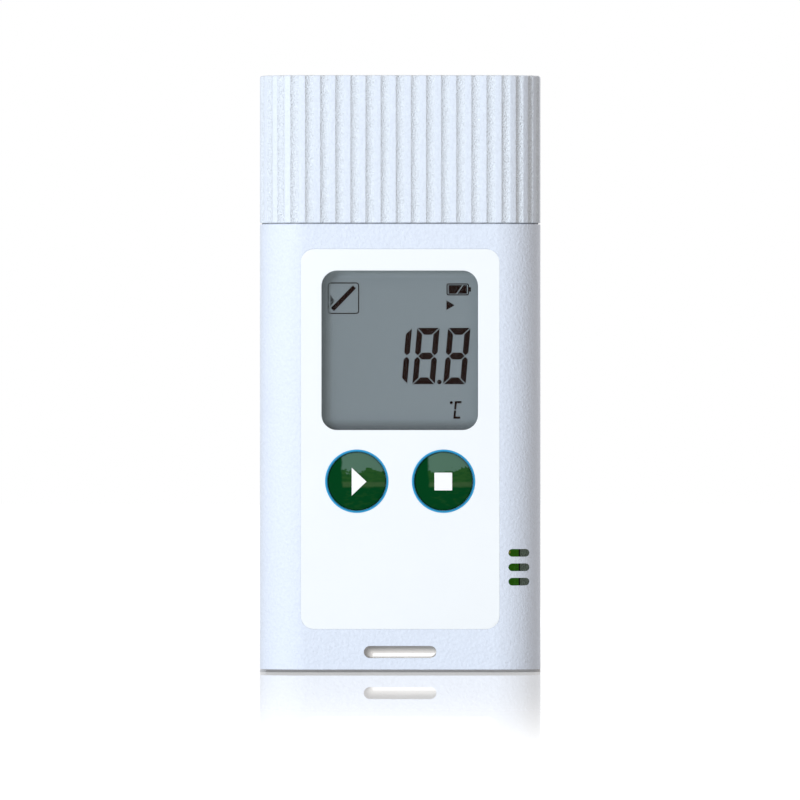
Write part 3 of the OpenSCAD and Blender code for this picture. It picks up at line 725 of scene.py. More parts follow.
@dataclass(frozen=True)
class EtchedPlastic(Finish):
    """Moulded plastic from a spark-eroded mould: a fine pebbled grain and a soft sheen."""

    grain: float = 0.42
    relief: float = 0.12
    # painted glow: emission that stands in for light falling on the surface
    glow: float = 0.0
    mottle: float = 0.95

    def constants(self) -> Values:
        """Give the gloss, and a painted glow: emission that lifts the colour as light would."""
        return {"Specular IOR Level": 0.3, "Emission Color": (*self.colour, 1.0),
                "Emission Strength": self.glow}

    def paint(self, graph: Graph) -> dict[str, Signal]:
        """Pebble the surface and mottle its colour a little.

        Args:
            graph: The material's nodes.

        Returns:
            The signals, by the shader's socket.
        """
        pebbles = graph.noise(self.grain, 2.0, 0.6)
        cloud = graph.noise(9.0, 2.0)
        tone = (pebbles * 0.85 + cloud * 0.15).rise(0.32, 0.68)
        return {
            "Base Color": graph.mix(tone, self.toned(self.mottle), self.colour),
            "Roughness": self.roughness + (pebbles - 0.5) * 0.2,
            "Normal": graph.bump(pebbles, 1.0, self.relief),
        }


@dataclass(frozen=True)
class SlotWall(EtchedPlastic):
    """The same plastic in the walls of a through slot, with painted shade near the face and a
    painted glow that grows towards its middle.
    """

    half_depth: float = 7.0
    rim_shade_tone: float = 0.76

    def paint(self, graph: Graph) -> dict[str, Signal]:
        """Paint shade near the face, and a glow that grows the deeper the wall is.

        Args:
            graph: The material's nodes.

        Returns:
            The signals, by the shader's socket.
        """
        _, y, _ = graph.axes()
        # painted shade near the face, painted glow growing towards the middle of the depth
        lit = (self.half_depth - abs(y)).rise(0.0, self.half_depth)
        painted = super().paint(graph)
        painted["Base Color"] = graph.mix(lit, self.toned(self.rim_shade_tone), self.colour)
        painted["Emission Color"] = graph.mix(lit, (0.0, 0.0, 0.0), self.colour)
        return painted


@dataclass(frozen=True)
class GlossFilm(Finish):
    """A printed film with a smooth gloss and a trace of orange peel."""

    gloss: float = 0.3
    coat: float = 0.3

    def constants(self) -> Values:
        """Give the print a clear layer."""
        return {"Specular IOR Level": self.gloss, "Coat Weight": self.coat,
                "Coat Roughness": 0.06}

    def paint(self, graph: Graph) -> dict[str, Signal]:
        """Let the gloss vary by touch.

        Args:
            graph: The material's nodes.

        Returns:
            The signals, by the shader's socket.
        """
        peel = graph.noise(1.4, 2.0)
        smudge = graph.noise(12.0, 4.0, 0.6)
        return {
            "Base Color": graph.mix(smudge.rise(0.3, 0.7), self.colour, self.toned(0.985)),
            "Roughness": self.roughness + (smudge - 0.5) * 0.12,
            "Normal": graph.bump(peel, 0.15, 0.01),
        }


@dataclass(frozen=True)
class RingFilm(GlossFilm):
    """The azure ring round a button, darker towards the button."""

    u: float = 0.0
    v: float = 0.0
    radius: float = 4.0
    width: float = 0.3
    inner_tone: float = 0.3

    def paint(self, graph: Graph) -> dict[str, Signal]:
        """Darken the print from the ring's outer edge inwards.

        Args:
            graph: The material's nodes.

        Returns:
            The signals, by the shader's socket.
        """
        x, _, z = graph.axes()
        reach = ((x - self.u) ** 2 + (z - self.v) ** 2) ** 0.5
        outward = (reach - self.radius) / self.width
        painted = super().paint(graph)
        inner = self.toned(self.inner_tone)
        painted["Base Color"] = graph.mix(outward.rise(0.1, 0.8), inner, self.colour)
        return painted


@dataclass(frozen=True)
class ClearPlate(Finish):
    """Clear plastic or glass: it mirrors at a slant, and what is behind it shows through."""

    veil: float = 0.01
    bend: float = 1.2

    def constants(self) -> Values:
        """Let the whole of what the plate shows be its mirror gloss."""
        return {"Metallic": 1.0}

    def paint(self, graph: Graph) -> dict[str, Signal]:
        """Mirror by the slant of the view, over a faint uneven veil.

        Args:
            graph: The material's nodes.

        Returns:
            The signals, by the shader's socket.
        """
        haze = graph.noise(6.0, 3.0)
        gloss = graph.signal(graph.node("ShaderNodeFresnel", None, {"IOR": self.bend}))
        return {
            "Base Color": graph.mix(haze, self.colour, self.toned(0.9)),
            "Alpha": (gloss + self.veil * (0.5 + haze)).least(1.0),
            "Roughness": self.roughness + haze * 0.04,
        }


@dataclass(frozen=True)
class DisplayGrey(Finish):
    """The grey ground of the display, with painted shade along three rims, painted light along the
    top and near the left rim, and a painted glow.
    """

    left: float = 0.0
    right: float = 1.0
    bottom: float = 0.0
    top: float = 1.0
    # painted glow: emission of the display's ground, no backlight
    glow: float = 0.45
    shade: float = 1.3
    low_reach: float = 1.4
    right_reach: float = 1 / 6
    left_depth: float = 0.1
    right_depth: float = 0.4
    rim_shade_tone: float = 0.45
    light_tone: float = 1.6
    light_rise: Point = (0.3, 0.9)
    light_fall: Point = (1.0, 2.2)
    light_share: float = 0.45

    def constants(self) -> Values:
        """Give the painted glow of the display's ground, which softens its shading."""
        return {"Emission Strength": self.glow}

    def paint(self, graph: Graph) -> dict[str, Signal]:
        """Grade the ground from side to side, then shade and light its rims.

        Args:
            graph: The material's nodes.

        Returns:
            The signals, by the shader's socket.
        """
        x, _, z = graph.axes()
        inward = x - self.left
        across = inward / (self.right - self.left)
        grain = graph.noise(0.05, 1.0)
        ground = graph.mix(across * 0.8 + grain * 0.2, self.colour, self.toned(1.1))
        # painted shade along the left, bottom and right rims; painted light along the top and in a
        # band near the left rim
        left_shade = 1 - inward.rise(0.0, self.shade)
        low_shade = 1 - (z - self.bottom).rise(0.0, self.low_reach * self.shade)
        right_shade = 1 - (self.right - x).rise(0.0, self.right_reach * self.shade)
        dark = (left_shade * self.left_depth).most(low_shade).most(right_shade * self.right_depth)
        top_light = 1 - (self.top - z).rise(0.0, self.shade)
        left_light = inward.rise(*self.light_rise) - inward.rise(*self.light_fall)
        light = top_light.most(left_light * self.light_share)
        lit = graph.mix(light, ground, self.toned(self.light_tone))
        painted = graph.mix(dark, lit, self.toned(self.rim_shade_tone))
        return {"Base Color": painted, "Emission Color": painted}


@dataclass(frozen=True)
class ButtonGloss(Finish):
    """A glossy green button with a painted reflection that lightens towards the top in a soft,
    broken edge.
    """

    u: float = 0.0
    v: float = 0.0
    radius: float = 4.0
    # a painted reflection of a landscape: sky, dark trees, haze over a shore, and a dark side
    reflected_sky: Colour = srgb(80, 112, 94)
    reflected_hedge: Colour = srgb(37, 78, 34)
    haze: Colour = srgb(64, 88, 56)
    reflection_curtain: float = 0.56
    reflected_skyline: float = 0.33
    reflected_shoreline: float = 0.16

    def constants(self) -> Values:
        """Give a gloss that shows at a slant only."""
        return {"Specular IOR Level": 0.02}

    def paint(self, graph: Graph) -> dict[str, Signal]:
        """Paint the reflection: the dark ground and side, the light top and the broken edge between
        them.

        Args:
            graph: The material's nodes.

        Returns:
            The signals, by the shader's socket.
        """
        x, _, z = graph.axes()
        across = (x - self.u) / self.radius
        up = (z - self.v) / self.radius
        lumps = graph.noise(1.3, 4.0, 0.6)
        lump = lumps - 0.5
        # the painted reflection's dark side, broken skyline, shore band and trees
        reflection_curtain = (across + self.reflection_curtain - (1 - up) * 0.05 + lump * 0.12).rise(-0.04, 0.06)
        edge = self.reflected_skyline + lump * 0.9 + across * 0.08
        light = (up - edge).rise(-0.03, 0.05)
        band = (up + self.reflected_shoreline + lump * 0.1).rise(-0.08, 0.02)
        reflected_shore = band - (up + 0.02).rise(-0.05, 0.03)
        speck = graph.noise(0.5, 2.0, where=graph.stretched((0.5, 1.0, 1.4)))
        ground = graph.mix(speck.rise(0.45, 0.75) * 0.35, self.colour, self.reflected_hedge)
        reflected_trees = graph.mix(speck.rise(0.35, 0.7) * 0.5, self.reflected_hedge, self.colour)
        scene = graph.mix(band, ground, reflected_trees)
        scene = graph.mix(reflected_shore.most(0.0) * 0.55, scene, self.haze)
        scene = graph.mix(light, scene, self.reflected_sky)
        return {
            "Base Color": graph.mix(reflection_curtain, self.colour, scene),
            "Roughness": self.roughness + lumps * 0.05,
        }


@dataclass(frozen=True)
class Metal(Finish):
    """Bare metal, drawn or brushed along one axis."""

    lay: tuple[float, float, float] = (1.0, 1.0, 12.0)

    def constants(self) -> Values:
        """Make it metallic."""
        return {"Metallic": 1.0}

    def paint(self, graph: Graph) -> dict[str, Signal]:
        """Brush it.

        Args:
            graph: The material's nodes.

        Returns:
            The signals, by the shader's socket.
        """
        lines = graph.noise(1.0, 3.0, 0.6, graph.stretched(self.lay))
        stain = graph.noise(3.0, 3.0)
        return {
            "Base Color": graph.mix(stain, self.colour, self.toned(0.86)),
            "Roughness": self.roughness + (lines - 0.5) * 0.25,
            "Normal": graph.bump(lines, 0.3, 0.01),
        }


@dataclass(frozen=True)
class SolderMask(Finish):
    """A circuit board: green resist over tracks, with bright pads, a painted shadow along its side
    edges and a painted glow.
    """

    track: Colour = srgb(52, 112, 16)
    pad: Colour = srgb(190, 170, 90)
    # painted shadow beyond the reach, along the board's side edges
    rim: Colour = srgb(8, 14, 4)
    reach: float = 16.9
    glow: float = 0.0

    def constants(self) -> Values:
        """Give the gloss, and a painted glow that stands in for the light that reaches the board
        through the vents.
        """
        return {"Specular IOR Level": 0.15, "Emission Strength": self.glow}

    def paint(self, graph: Graph) -> dict[str, Signal]:
        """Lay tracks and pads under and on the resist, and paint shadow on the board beyond its
        reach from the middle.

        Args:
            graph: The material's nodes.

        Returns:
            The signals, by the shader's socket.
        """
        bricks = graph.node("ShaderNodeTexBrick", {"offset": 0.37},
                            {"Vector": self.flat(graph), "Scale": 420.0, "Mortar Size": 0.035,
                             "Brick Width": 0.9, "Row Height": 0.33})
        lines = 1 - graph.signal(bricks, 1)
        cells = graph.node("ShaderNodeTexVoronoi", {"feature": "F1"},
                           {"Vector": self.flat(graph), "Scale": 330.0})
        pads = 1 - graph.signal(cells, 0).rise(0.1, 0.16)
        ground = graph.mix(lines, self.track, self.colour)
        x, _, _ = graph.axes()
        painted = graph.mix(abs(x).above(self.reach), graph.mix(pads, ground, self.pad), self.rim)
        return {
            "Base Color": painted,
            "Emission Color": painted,
            "Roughness": self.roughness - pads * 0.1,
            "Normal": graph.bump(lines, 0.4, 0.03),
        }

    @staticmethod
    def flat(graph: Graph) -> Signal:
        """Take the place on the board's face as a flat vector.

        Args:
            graph: The material's nodes.

        Returns:
            The place across and up.
        """
        parts = graph.node("ShaderNodeSeparateXYZ", sockets={"Vector": graph.place()})
        joined = graph.node("ShaderNodeCombineXYZ", None,
                            {"X": graph.signal(parts, 0), "Y": graph.signal(parts, 2)})
        return graph.signal(joined)


@dataclass(frozen=True)
class Moulded(Finish):
    """Plain moulded plastic, rubber or epoxy with a fine even grain."""

    grain: float = 0.4
    relief: float = 0.015
    gloss: float = 0.5

    def constants(self) -> Values:
        """Give how strongly the surface mirrors."""
        return {"Specular IOR Level": self.gloss}

    def paint(self, graph: Graph) -> dict[str, Signal]:
        """Give a fine grain and slight mottling.

        Args:
            graph: The material's nodes.

        Returns:
            The signals, by the shader's socket.
        """
        fine = graph.noise(self.grain, 3.0)
        cloud = graph.noise(5.0, 2.0)
        return {
            "Base Color": graph.mix(cloud, self.colour, self.toned(0.9)),
            "Roughness": self.roughness + (fine - 0.5) * 0.15,
            "Normal": graph.bump(fine, 0.5, self.relief),
        }


CASE_WHITE = EtchedPlastic("case_white", srgb(230, 238, 251), 0.6)
# The inside of the case has a painted glow that stands in for light coming in through the vents.
CASE_INSIDE = EtchedPlastic("case_inside", srgb(214, 221, 217), 0.6,
                            grain=0.3, relief=0.1, glow=0.06, mottle=0.3)
# The lanyard slot's walls carry painted shade near the face and a painted glow deeper in.
SLOT_SHADE_AND_GLOW = SlotWall("slot_shade_and_glow", srgb(231, 230, 229), 0.6, glow=0.27)
# painted shade: a darker copy of the case's plastic inside the coin slot
RECESS_SHADE = EtchedPlastic("recess_shade", srgb(188, 196, 210), 0.6)
# painted shade: grey copies of the case's plastic on the seam ledge and on the foot bevel
SEAM_SHADE = EtchedPlastic("seam_shade", srgb(146, 150, 158), 0.6)
FOOT_SHADE = EtchedPlastic("foot_shade", srgb(198, 199, 202), 0.6)
CAP_WHITE = EtchedPlastic("cap_white", srgb(231, 239, 251), 0.6, relief=0.1, mottle=0.94)
# The flutes get a lighter copy of the cap's plastic with a painted glow, a painted highlight; their
# finer, deeper grain is the mould's own.
FLUTE_LIT_WHITE = EtchedPlastic("cap_flute_lit_white", srgb(240, 247, 255), 0.6,
                            grain=0.24, relief=0.38, glow=0.03, mottle=0.91)
OVERLAY_WHITE = GlossFilm("overlay_white", srgb(248, 252, 254), 0.3)
LENS_CLEAR = ClearPlate("clear_lens", srgb(240, 246, 248), 0.04, veil=0.002, bend=1.1)
GLASS_CLEAR = ClearPlate("display_glass", srgb(200, 212, 212), 0.1, veil=0.002, bend=1.02)
INK = Moulded("display_ink", srgb(32, 18, 15), 0.9, relief=0.002, gloss=0.0)
HOLDER_WHITE = Moulded("holder_white", srgb(205, 208, 208), 0.6)
ZEBRA = Moulded("zebra_rubber", srgb(60, 60, 64), 0.8)
# The board's glow is painted light that stands in for light reaching it through the vents.
BOARD_GREEN = SolderMask("board_green", srgb(43, 103, 2), 0.35, glow=0.35)
MARK_WHITE = GlossFilm("mark_white", srgb(255, 255, 255), 0.3)
TINNED = Metal("tinned_steel", srgb(205, 205, 200), 0.35)
BLACK_PLASTIC = Moulded("black_plastic", srgb(30, 30, 32), 0.5)
CHIP_BLACK = Moulded("chip_black", srgb(36, 36, 40), 0.6, grain=0.12)
CERAMIC_TAN = Moulded("ceramic_tan", srgb(130, 106, 82), 0.4)
PLUG_STEEL = Metal("plug_steel", srgb(214, 216, 220), 0.24)
TONGUE_WHITE = Moulded("tongue_white", srgb(228, 228, 222), 0.45)
CONTACT_GOLD = Metal("contact_gold", srgb(226, 186, 92), 0.22)
CELL_STEEL = Metal("cell_steel", srgb(200, 203, 206), 0.3, lay=(6.0, 1.0, 6.0))
LABEL_WHITE = Moulded("label_white", srgb(240, 241, 240), 0.5, grain=0.2, relief=0.006)
# painted shade: a dark copy of the screws' steel in their cross recesses
SCREW_SHADE = Metal("screw_recess_shade", srgb(78, 80, 86), 0.5, lay=(1.0, 8.0, 1.0))
SCREW_STEEL = Metal("screw_steel", srgb(176, 178, 184), 0.32, lay=(1.0, 8.0, 1.0))
CASE_FINISHES = (CASE_WHITE, CASE_INSIDE, SLOT_SHADE_AND_GLOW, SEAM_SHADE, FOOT_SHADE)


class Wardrobe:
    """Makes each finish's material once, and dresses pieces and nodes in it."""

    def __init__(self, nodes: dict[str, bpy.types.Object]) -> None:
        """Keep the nodes of the construction model."""
        self.nodes = nodes
        self.made: dict[str, bpy.types.Material] = {}

    def material(self, finish: Finish) -> bpy.types.Material:
        """Give a finish's material.

        Args:
            finish: The finish.

        Returns:
            The material, made at its first use.
        """
        if finish.name not in self.made:
            self.made[finish.name] = finish.material()
        return self.made[finish.name]

    def seat(self, piece: bpy.types.Object, body: str, finish: Finish, slot: str,
             *nodes: str, sharp: float = 38.0) -> bpy.types.Object:
        """Scale a formed piece to metres, dress it and set it in place of nodes.

        Args:
            piece: The piece, formed in millimetres.
            body: The body that it rides on.
            finish: Its finish.
            slot: The record's material slot; not used.
            nodes: The nodes that it stands for.
            sharp: Edges that turn by more than this angle in degrees stay crisp.

        Returns:
            The piece.
        """
        data = piece.data
        data.transform(Matrix.Scale(MM, 4))
        data.shade_smooth()
        data.set_sharp_from_angle(angle=math.radians(sharp))
        if not data.materials:
            data.materials.append(self.material(finish))
        even = piece.modifiers.new("even_shading", "WEIGHTED_NORMAL")
        even.keep_sharp = True
        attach(piece, body)
        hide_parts(*nodes)
        LOG.info("seated %s on %s: %d faces", piece.name, body, len(data.polygons))
        return piece

    def dress_faces(self, piece: bpy.types.Object, finishes: Sequence[Finish],
                    choose: Callable[[Vector], Finish]) -> None:
        """Give each face of a piece that isn't seated yet one of several finishes.

        Args:
            piece: The piece, formed in millimetres.
            finishes: The finishes, in the order of the piece's material slots.
            choose: Picks the finish of a face from the face's middle.
        """
        data = piece.data
        data.materials.clear()
        for finish in finishes:
            data.materials.append(self.material(finish))
        for face in data.polygons:
            face.material_index = finishes.index(choose(face.center))

    def dress(self, finish: Finish, *nodes: str) -> None:
        """Give nodes that keep their shape a finish.

        Args:
            finish: The finish.
            nodes: The nodes.
        """
        for name in nodes:
            data = self.nodes[name].data
            data.materials.clear()
            data.materials.append(self.material(finish))
            LOG.info("dressed %s in %s", name, finish.name)


def bayonet(axis: Point, turn: float, width: float, radii: Point, run: Run) -> list[Former]:
    """Form the three wedges of a bayonet: its lugs, or the gates that they pass.

    Args:
        axis: The cover's axis, seen from the front.
        turn: How far they are turned from their locked place, in degrees.
        width: The angle that each takes, in degrees.
        radii: Their inner and outer radius.
        run: Their levels along the depth.

    Returns:
        The three wedges.
    """
    wedges, steps = [], 6
    for i in range(3):
        start = math.radians(90 + 120 * i + turn - width / 2)
        rays = [start + math.radians(width) * k / steps for k in range(steps + 1)]
        inner, outer = ([(r * math.cos(a), r * math.sin(a)) for a in rays] for r in radii)
        wedges.append(prism(Corners(tuple(outer + inner[::-1]), *axis), run))
    return wedges


@dataclass
class Case:
    """The front and rear shells, parted at mid depth, with the neck that the cap sits on."""

    wardrobe: Wardrobe
    corner: float = 6.5
    wall: float = WALL
    neck_inset: float = 2.05
    neck_wall: float = 1.2
    neck_ease: float = 0.25
    aperture_corner: float = 0.65
    foot_bevel: Point = (0.4, 1.6)
    foot_ease: float = 0.04
    cap_seam: float = 0.2
    ledge_inset: float = 0.3
    ledge_gap: float = 0.02
    shoulder_ease: float = 0.08
    seam_ease: float = 0.12
    lip: float = 0.6
    lip_reach: float = 0.8
    fit: float = 0.05
    film_fit: float = 0.01
    film_ease: float = 0.06
    hole_ease: float = 0.15
    lens_edge: float = 0.7
    window_trim: float = 0.12
    window_shift: Point = (-0.06, -0.12)
    ring_lap: float = 0.33
    lanyard: Outline = Outline.slot(10.3, 1.7, 0.0, 2.9)
    lanyard_draft: float = 0.54
    lanyard_lean: Point = (1.2, -1.0)
    lanyard_wall: float = 1.2
    vent_size: Point = (3.0, 1.1)
    vent_x: float = 16.9
    vent_heights: tuple[float, ...] = (12.9, 14.95, 17.0)
    front_boss: float = 1.95
    rear_boss: float = 2.8
    pilot: float = 1.05
    pilot_depth: float = 3.0
    screw_hole: float = 1.15
    screw_well: float = 1.95
    screw_insets: Point = (7.0, 5.0)
    collar_bore: float = 10.3
    collar_wall: float = 1.2
    cover_seat: float = 0.85
    cover_gap: float = 0.1
    throat: float = 11.1
    groove: float = 12.7
    groove_reach: float = 0.5
    gate_turn: float = -45.0
    gate_angle: float = 34.0
    gate_radii: Point = (10.9, 12.5)

    def __post_init__(self) -> None:
        """Take the sizes that the construction model gives."""
        shell = Box.of("rear_shell")
        self.width = shell.size.x
        self.depth = 2 * shell.high.y
        self.neck_top = shell.high.z
        self.plan = Outline(self.width, self.depth, self.corner, steps=20)
        self.shoulder = Box.of("usb_cap").low.z - self.cap_seam
        self.board = Box.of("circuit_board")
        self.screws = self._screw_places()

    def _screw_places(self) -> list[Point]:
        """Find the four screws from the box of their node.

        Returns:
            Each screw's place, seen from the front.
        """
        box, half = Box.of("case_screws"), self.width / 2
        low_inset, high_inset = self.screw_insets
        rows = ((half - low_inset, box.low.z + SCREW_HEAD),
                (half - high_inset, box.high.z - SCREW_HEAD))
        return [(side * x, z) for x, z in rows for side in (-1, 1)]

    def shell(self, name: str, side: Side) -> bpy.types.Object:
        """Form one half of the hollow case and neck, with a grooved seam and its lip.

        Args:
            name: The piece's name.
            side: Which half.

        Returns:
            The half shell, with no openings but the plug's.
        """
        rise, inset = self.foot_bevel
        outside = [(0.0, 0.0)]
        outside += eased_run(rise, self.shoulder, self.foot_ease, self.shoulder_ease)
        ledge = self.shoulder + self.cap_seam - self.ledge_gap
        outside += [(self.shoulder, self.ledge_inset), (ledge, self.ledge_inset)]
        outside += [(ledge, self.neck_inset)]
        outside += [(z, self.neck_inset + ease) for z, ease in
                    eased_run(ledge + self.fit, self.neck_top, 0, self.neck_ease)]
        ceiling = self.shoulder - self.wall
        throat = self.neck_inset + self.neck_wall
        inside = [(self.wall, self.wall), (ceiling, self.wall), (ceiling, throat),
                  (self.neck_top - self.neck_wall, throat)]
        former = Former()
        former.stack(Facing.PLAN, self.plan, outside)
        for vert in former.mesh.verts[:len(self.plan.ring())]:
            vert.co.y *= 1 - 2 * inset / self.depth
        former.stack(Facing.PLAN, self.plan, inside)
        piece = former.halve(side).made(name)
        plug = Box.of("usb_plug_shell").size
        aperture = Outline(plug.x + 2 * self.fit, plug.y + 2 * self.fit, self.aperture_corner)
        hole = flared_run(self.neck_top, self.shoulder, self.hole_ease)
        carve(piece, Cut.AWAY, self.seam_groove(side),
              Former().stack(Facing.PLAN, aperture, hole))
        return piece

    def seam_groove(self, side: Side) -> Former:
        """Form the cutter of the fine groove along the parting line.

        Args:
            side: The shell that it cuts.

        Returns:
            The cutter.
        """
        ease = self.seam_ease
        out = 3 * ease
        edge = Outline(self.width, self.shoulder, self.foot_bevel[0], 0, self.shoulder / 2, 2)
        shift = -side.value * ease / 4
        run = [(shift - ease - out, -out), (shift, ease), (shift + ease + out, -out)]
        return Former().stack(Facing.FRONT, edge, run, closed=True)

    def lip_frame(self, outer: float) -> Outline:
        """Draw the lip at the parting line, a given distance out from the case's inside.

        Args:
            outer: How far out it is drawn.

        Returns:
            The outline.
        """
        height = self.shoulder - 2 * self.wall
        return Outline(self.width - 2 * self.wall + 2 * outer, height + 2 * outer, 0.35,
                       0, self.shoulder / 2, 4)

    def lanyard_walls(self, side: Side) -> Former:
        """Form the walls round the lanyard slot inside one shell.

        Args:
            side: The shell that they stand in.

        Returns:
            The walls, as one block.
        """
        half = self.lanyard.width / 2 + self.lanyard_wall
        top = self.lanyard.v + self.lanyard.height / 2 + self.lanyard_wall
        depths = sorted((0.0, side.value * (self.depth / 2 - self.wall / 2)))
        return Former().block((-half, depths[0], self.wall / 2), (half, depths[1], top))

    def lanyard_cut(self, side: Side) -> Former:
        """Form the lanyard slot's cutter: eased at the face, drawn in towards the seam.

        Args:
            side: The shell that it cuts.

        Returns:
            The cutter.
        """
        face, draft = side.value * self.depth / 2, self.lanyard_draft
        run = flared_run(face, 0.0, self.film_ease, 3)[:-1]
        run += [(0.0, draft), (-side.value * OVERRUN, draft)]
        return prism(LeaningSlot(self.lanyard, self.lanyard_lean), run)

    def at_screws(self, radius: float, run: Run, steps: int = 8) -> Former:
        """Form a pin or hole at each screw.

        Args:
            radius: Its radius.
            run: Its stations along the depth.
            steps: Steps in a quarter of its round.

        Returns:
            The pins or holes.
        """
        former = Former()
        for u, v in self.screws:
            former.stack(Facing.FRONT, Outline.disc(radius, u, v, steps), run)
        return former

    def screw_posts(self, radius: float, low: float, high: float) -> bpy.types.Object:
        """Form the solid posts at the screws, kept within the case's rounded walls.

        Args:
            radius: Their radius.
            low: The depth that they start at.
            high: The depth that they end at.

        Returns:
            The posts.
        """
        posts = self.at_screws(radius, straight(low, high)).made("posts")
        inset = self.wall / 2
        shell = Former().stack(Facing.PLAN, self.plan, [(0.0, inset), (self.shoulder, inset)])
        return carve(posts, Cut.WITHIN, shell)

    def front(self) -> bpy.types.Object:
        """Form the front shell with the recess of the overlay and all front openings.

        Returns:
            The front shell.
        """
        face, inner = -self.depth / 2, -self.depth / 2 + self.wall
        piece = self.shell("front_shell_moulding", Side.FRONT)
        board = self.board.low.y
        carve(piece, Cut.AWAY, prism(self.lip_frame(self.lip + self.fit),
                                     straight(-self.lip_reach - self.fit, OVERRUN)))
        carve(piece, Cut.JOIN, self.lanyard_walls(Side.FRONT),
              self.screw_posts(self.front_boss, inner - self.wall / 4, board))
        carve(piece, Cut.AWAY, self.lanyard_cut(Side.FRONT),
              self.at_screws(self.pilot, straight(board - self.pilot_depth, OVERRUN)))
        overlay, lens = Box.of("front_overlay"), Box.of("window_lens")
        recess = self.plate_outline(overlay, OVERLAY_CORNER).grown(self.film_fit)
        pocket = self.plate_outline(lens, LENS_CORNER).grown(self.film_fit)
        through = straight(face, inner + OVERRUN)
        carve(piece, Cut.AWAY, prism(recess, flared_run(face, overlay.high.y, self.film_ease, 3)),
              prism(pocket, straight(face, lens.high.y)), prism(self.window(lens), through),
              self.button_holes(through), self.vents(face))
        return self.dressed(piece, "front_shell")

    @classmethod
    def window(cls, lens: Box) -> Outline:
        """Draw the display window, which leaves the edge of the lens covered.

        Args:
            lens: The box of the lens.

        Returns:
            The window's outline.
        """
        outline = cls.plate_outline(lens, LENS_CORNER + cls.lens_edge).grown(-cls.lens_edge)
        return replace(outline, width=outline.width - cls.window_trim,
                       u=outline.u + cls.window_shift[0], v=outline.v + cls.window_shift[1])

    @staticmethod
    def plate_outline(box: Box, radius: float) -> Outline:
        """Draw the outline of a plate from its box."""
        return Outline(box.size.x, box.size.z, radius, box.middle.x, box.middle.z)

    def button_holes(self, run: Run) -> Former:
        """Form the cutter of both button holes.

        Args:
            run: Their stations along the depth.

        Returns:
            The cutter.
        """
        former = Former()
        for node in ("start_ring", "stop_ring"):
            ring = Box.of(node)
            radius = ring.size.x / 2 - self.ring_lap
            former.stack(Facing.FRONT, Outline.disc(radius, ring.middle.x, ring.middle.z), run)
        return former

    def vents(self, face: float) -> Former:
        """Form the cutter of the vent slots.

        Args:
            face: The depth of the front face.

        Returns:
            The cutter.
        """
        former = Former()
        run = straight(face - OVERRUN, self.board.low.y - self.fit)
        for height in self.vent_heights:
            former.stack(Facing.FRONT, Outline.slot(*self.vent_size, self.vent_x, height), run)
        return former

    def dressed(self, piece: bpy.types.Object, node: str) -> bpy.types.Object:
        """Dress a finished shell and set it in place of its node."""
        self.wardrobe.dress_faces(piece, CASE_FINISHES, self.wall_finish)
        return self.wardrobe.seat(piece, "case", CASE_WHITE, "case_white", node)

    def wall_finish(self, place: Vector) -> Finish:
        """Pick the finish of a face of a shell: outside, inside with its painted glow, slot walls
        with painted shade and glow, and the seam ledge and foot bevel in painted shade.

        Args:
            place: The middle of the face.

        Returns:
            Its finish.
        """
        x, y, z = place
        depth = self.depth_inside(x, y)
        slot = self.lanyard.grown(0.3 * self.fit)
        in_slot = abs(x) < slot.width / 2 and abs(z - slot.v) < slot.height / 2
        if in_slot and depth > self.fit:
            return SLOT_SHADE_AND_GLOW
        if 0 < z - self.shoulder < self.cap_seam and depth < self.neck_inset:
            return SEAM_SHADE
        if z < 0.9 * self.foot_bevel[0]:
            return FOOT_SHADE
        inside = depth > self.wall - 2 * self.fit and z > self.wall - self.fit
        return CASE_INSIDE if inside and z < self.shoulder else CASE_WHITE

    def depth_inside(self, x: float, y: float) -> float:
        """Give how far a point lies inside the case's plan outline.

        Args:
            x: The point's place from side to side.
            y: Its place along the depth.

        Returns:
            How deep it lies.
        """
        gap_x = abs(x) - (self.width / 2 - self.corner)
        gap_y = abs(y) - (self.depth / 2 - self.corner)
        corner = math.hypot(max(gap_x, 0.0), max(gap_y, 0.0)) + min(max(gap_x, gap_y), 0.0)
        return self.corner - corner

    def rear(self) -> bpy.types.Object:
        """Form the rear shell with the cover's seat, the screw wells and the label's recess.

        Returns:
            The rear shell.
        """
        face, inner = self.depth / 2, self.depth / 2 - self.wall
        piece = self.shell("rear_shell_moulding", Side.REAR)
        frame = Former().plate(Facing.FRONT, self.lip_frame(self.lip), [self.lip_frame(0.0)],
                               straight(-self.lip_reach, self.fit))
        carve(piece, Cut.JOIN, frame, self.lanyard_walls(Side.REAR), self.collar(inner),
              self.screw_posts(self.rear_boss, self.board.high.y, inner + self.wall / 4))
        label, wells = Box.of("rear_label"), Box.of("case_screws").high.y - SCREW_HEAD_HEIGHT
        recess = self.plate_outline(label, LABEL_CORNER).grown(self.film_fit)
        carve(piece, Cut.AWAY, *self.cover_cuts(face), self.lanyard_cut(Side.REAR),
              self.at_screws(self.screw_hole, straight(-OVERRUN, face)),
              self.at_screws(self.screw_well, flared_run(face, wells, self.hole_ease), 10),
              prism(recess, flared_run(face, label.low.y, self.film_ease, 3)))
        return self.dressed(piece, "rear_shell")

    def collar(self, inner: float) -> Former:
        """Form the collar round the coin cell, up to the wall's inside.

        Args:
            inner: The depth of the rear wall's inside.

        Returns:
            The collar.
        """
        middle = Box.of("battery_cover").middle
        outer, bore = (Outline.disc(radius, middle.x, middle.z)
                       for radius in (self.groove + self.collar_wall, self.collar_bore))
        return Former().plate(Facing.FRONT, outer, [bore], straight(-0.1, inner + self.wall / 2))

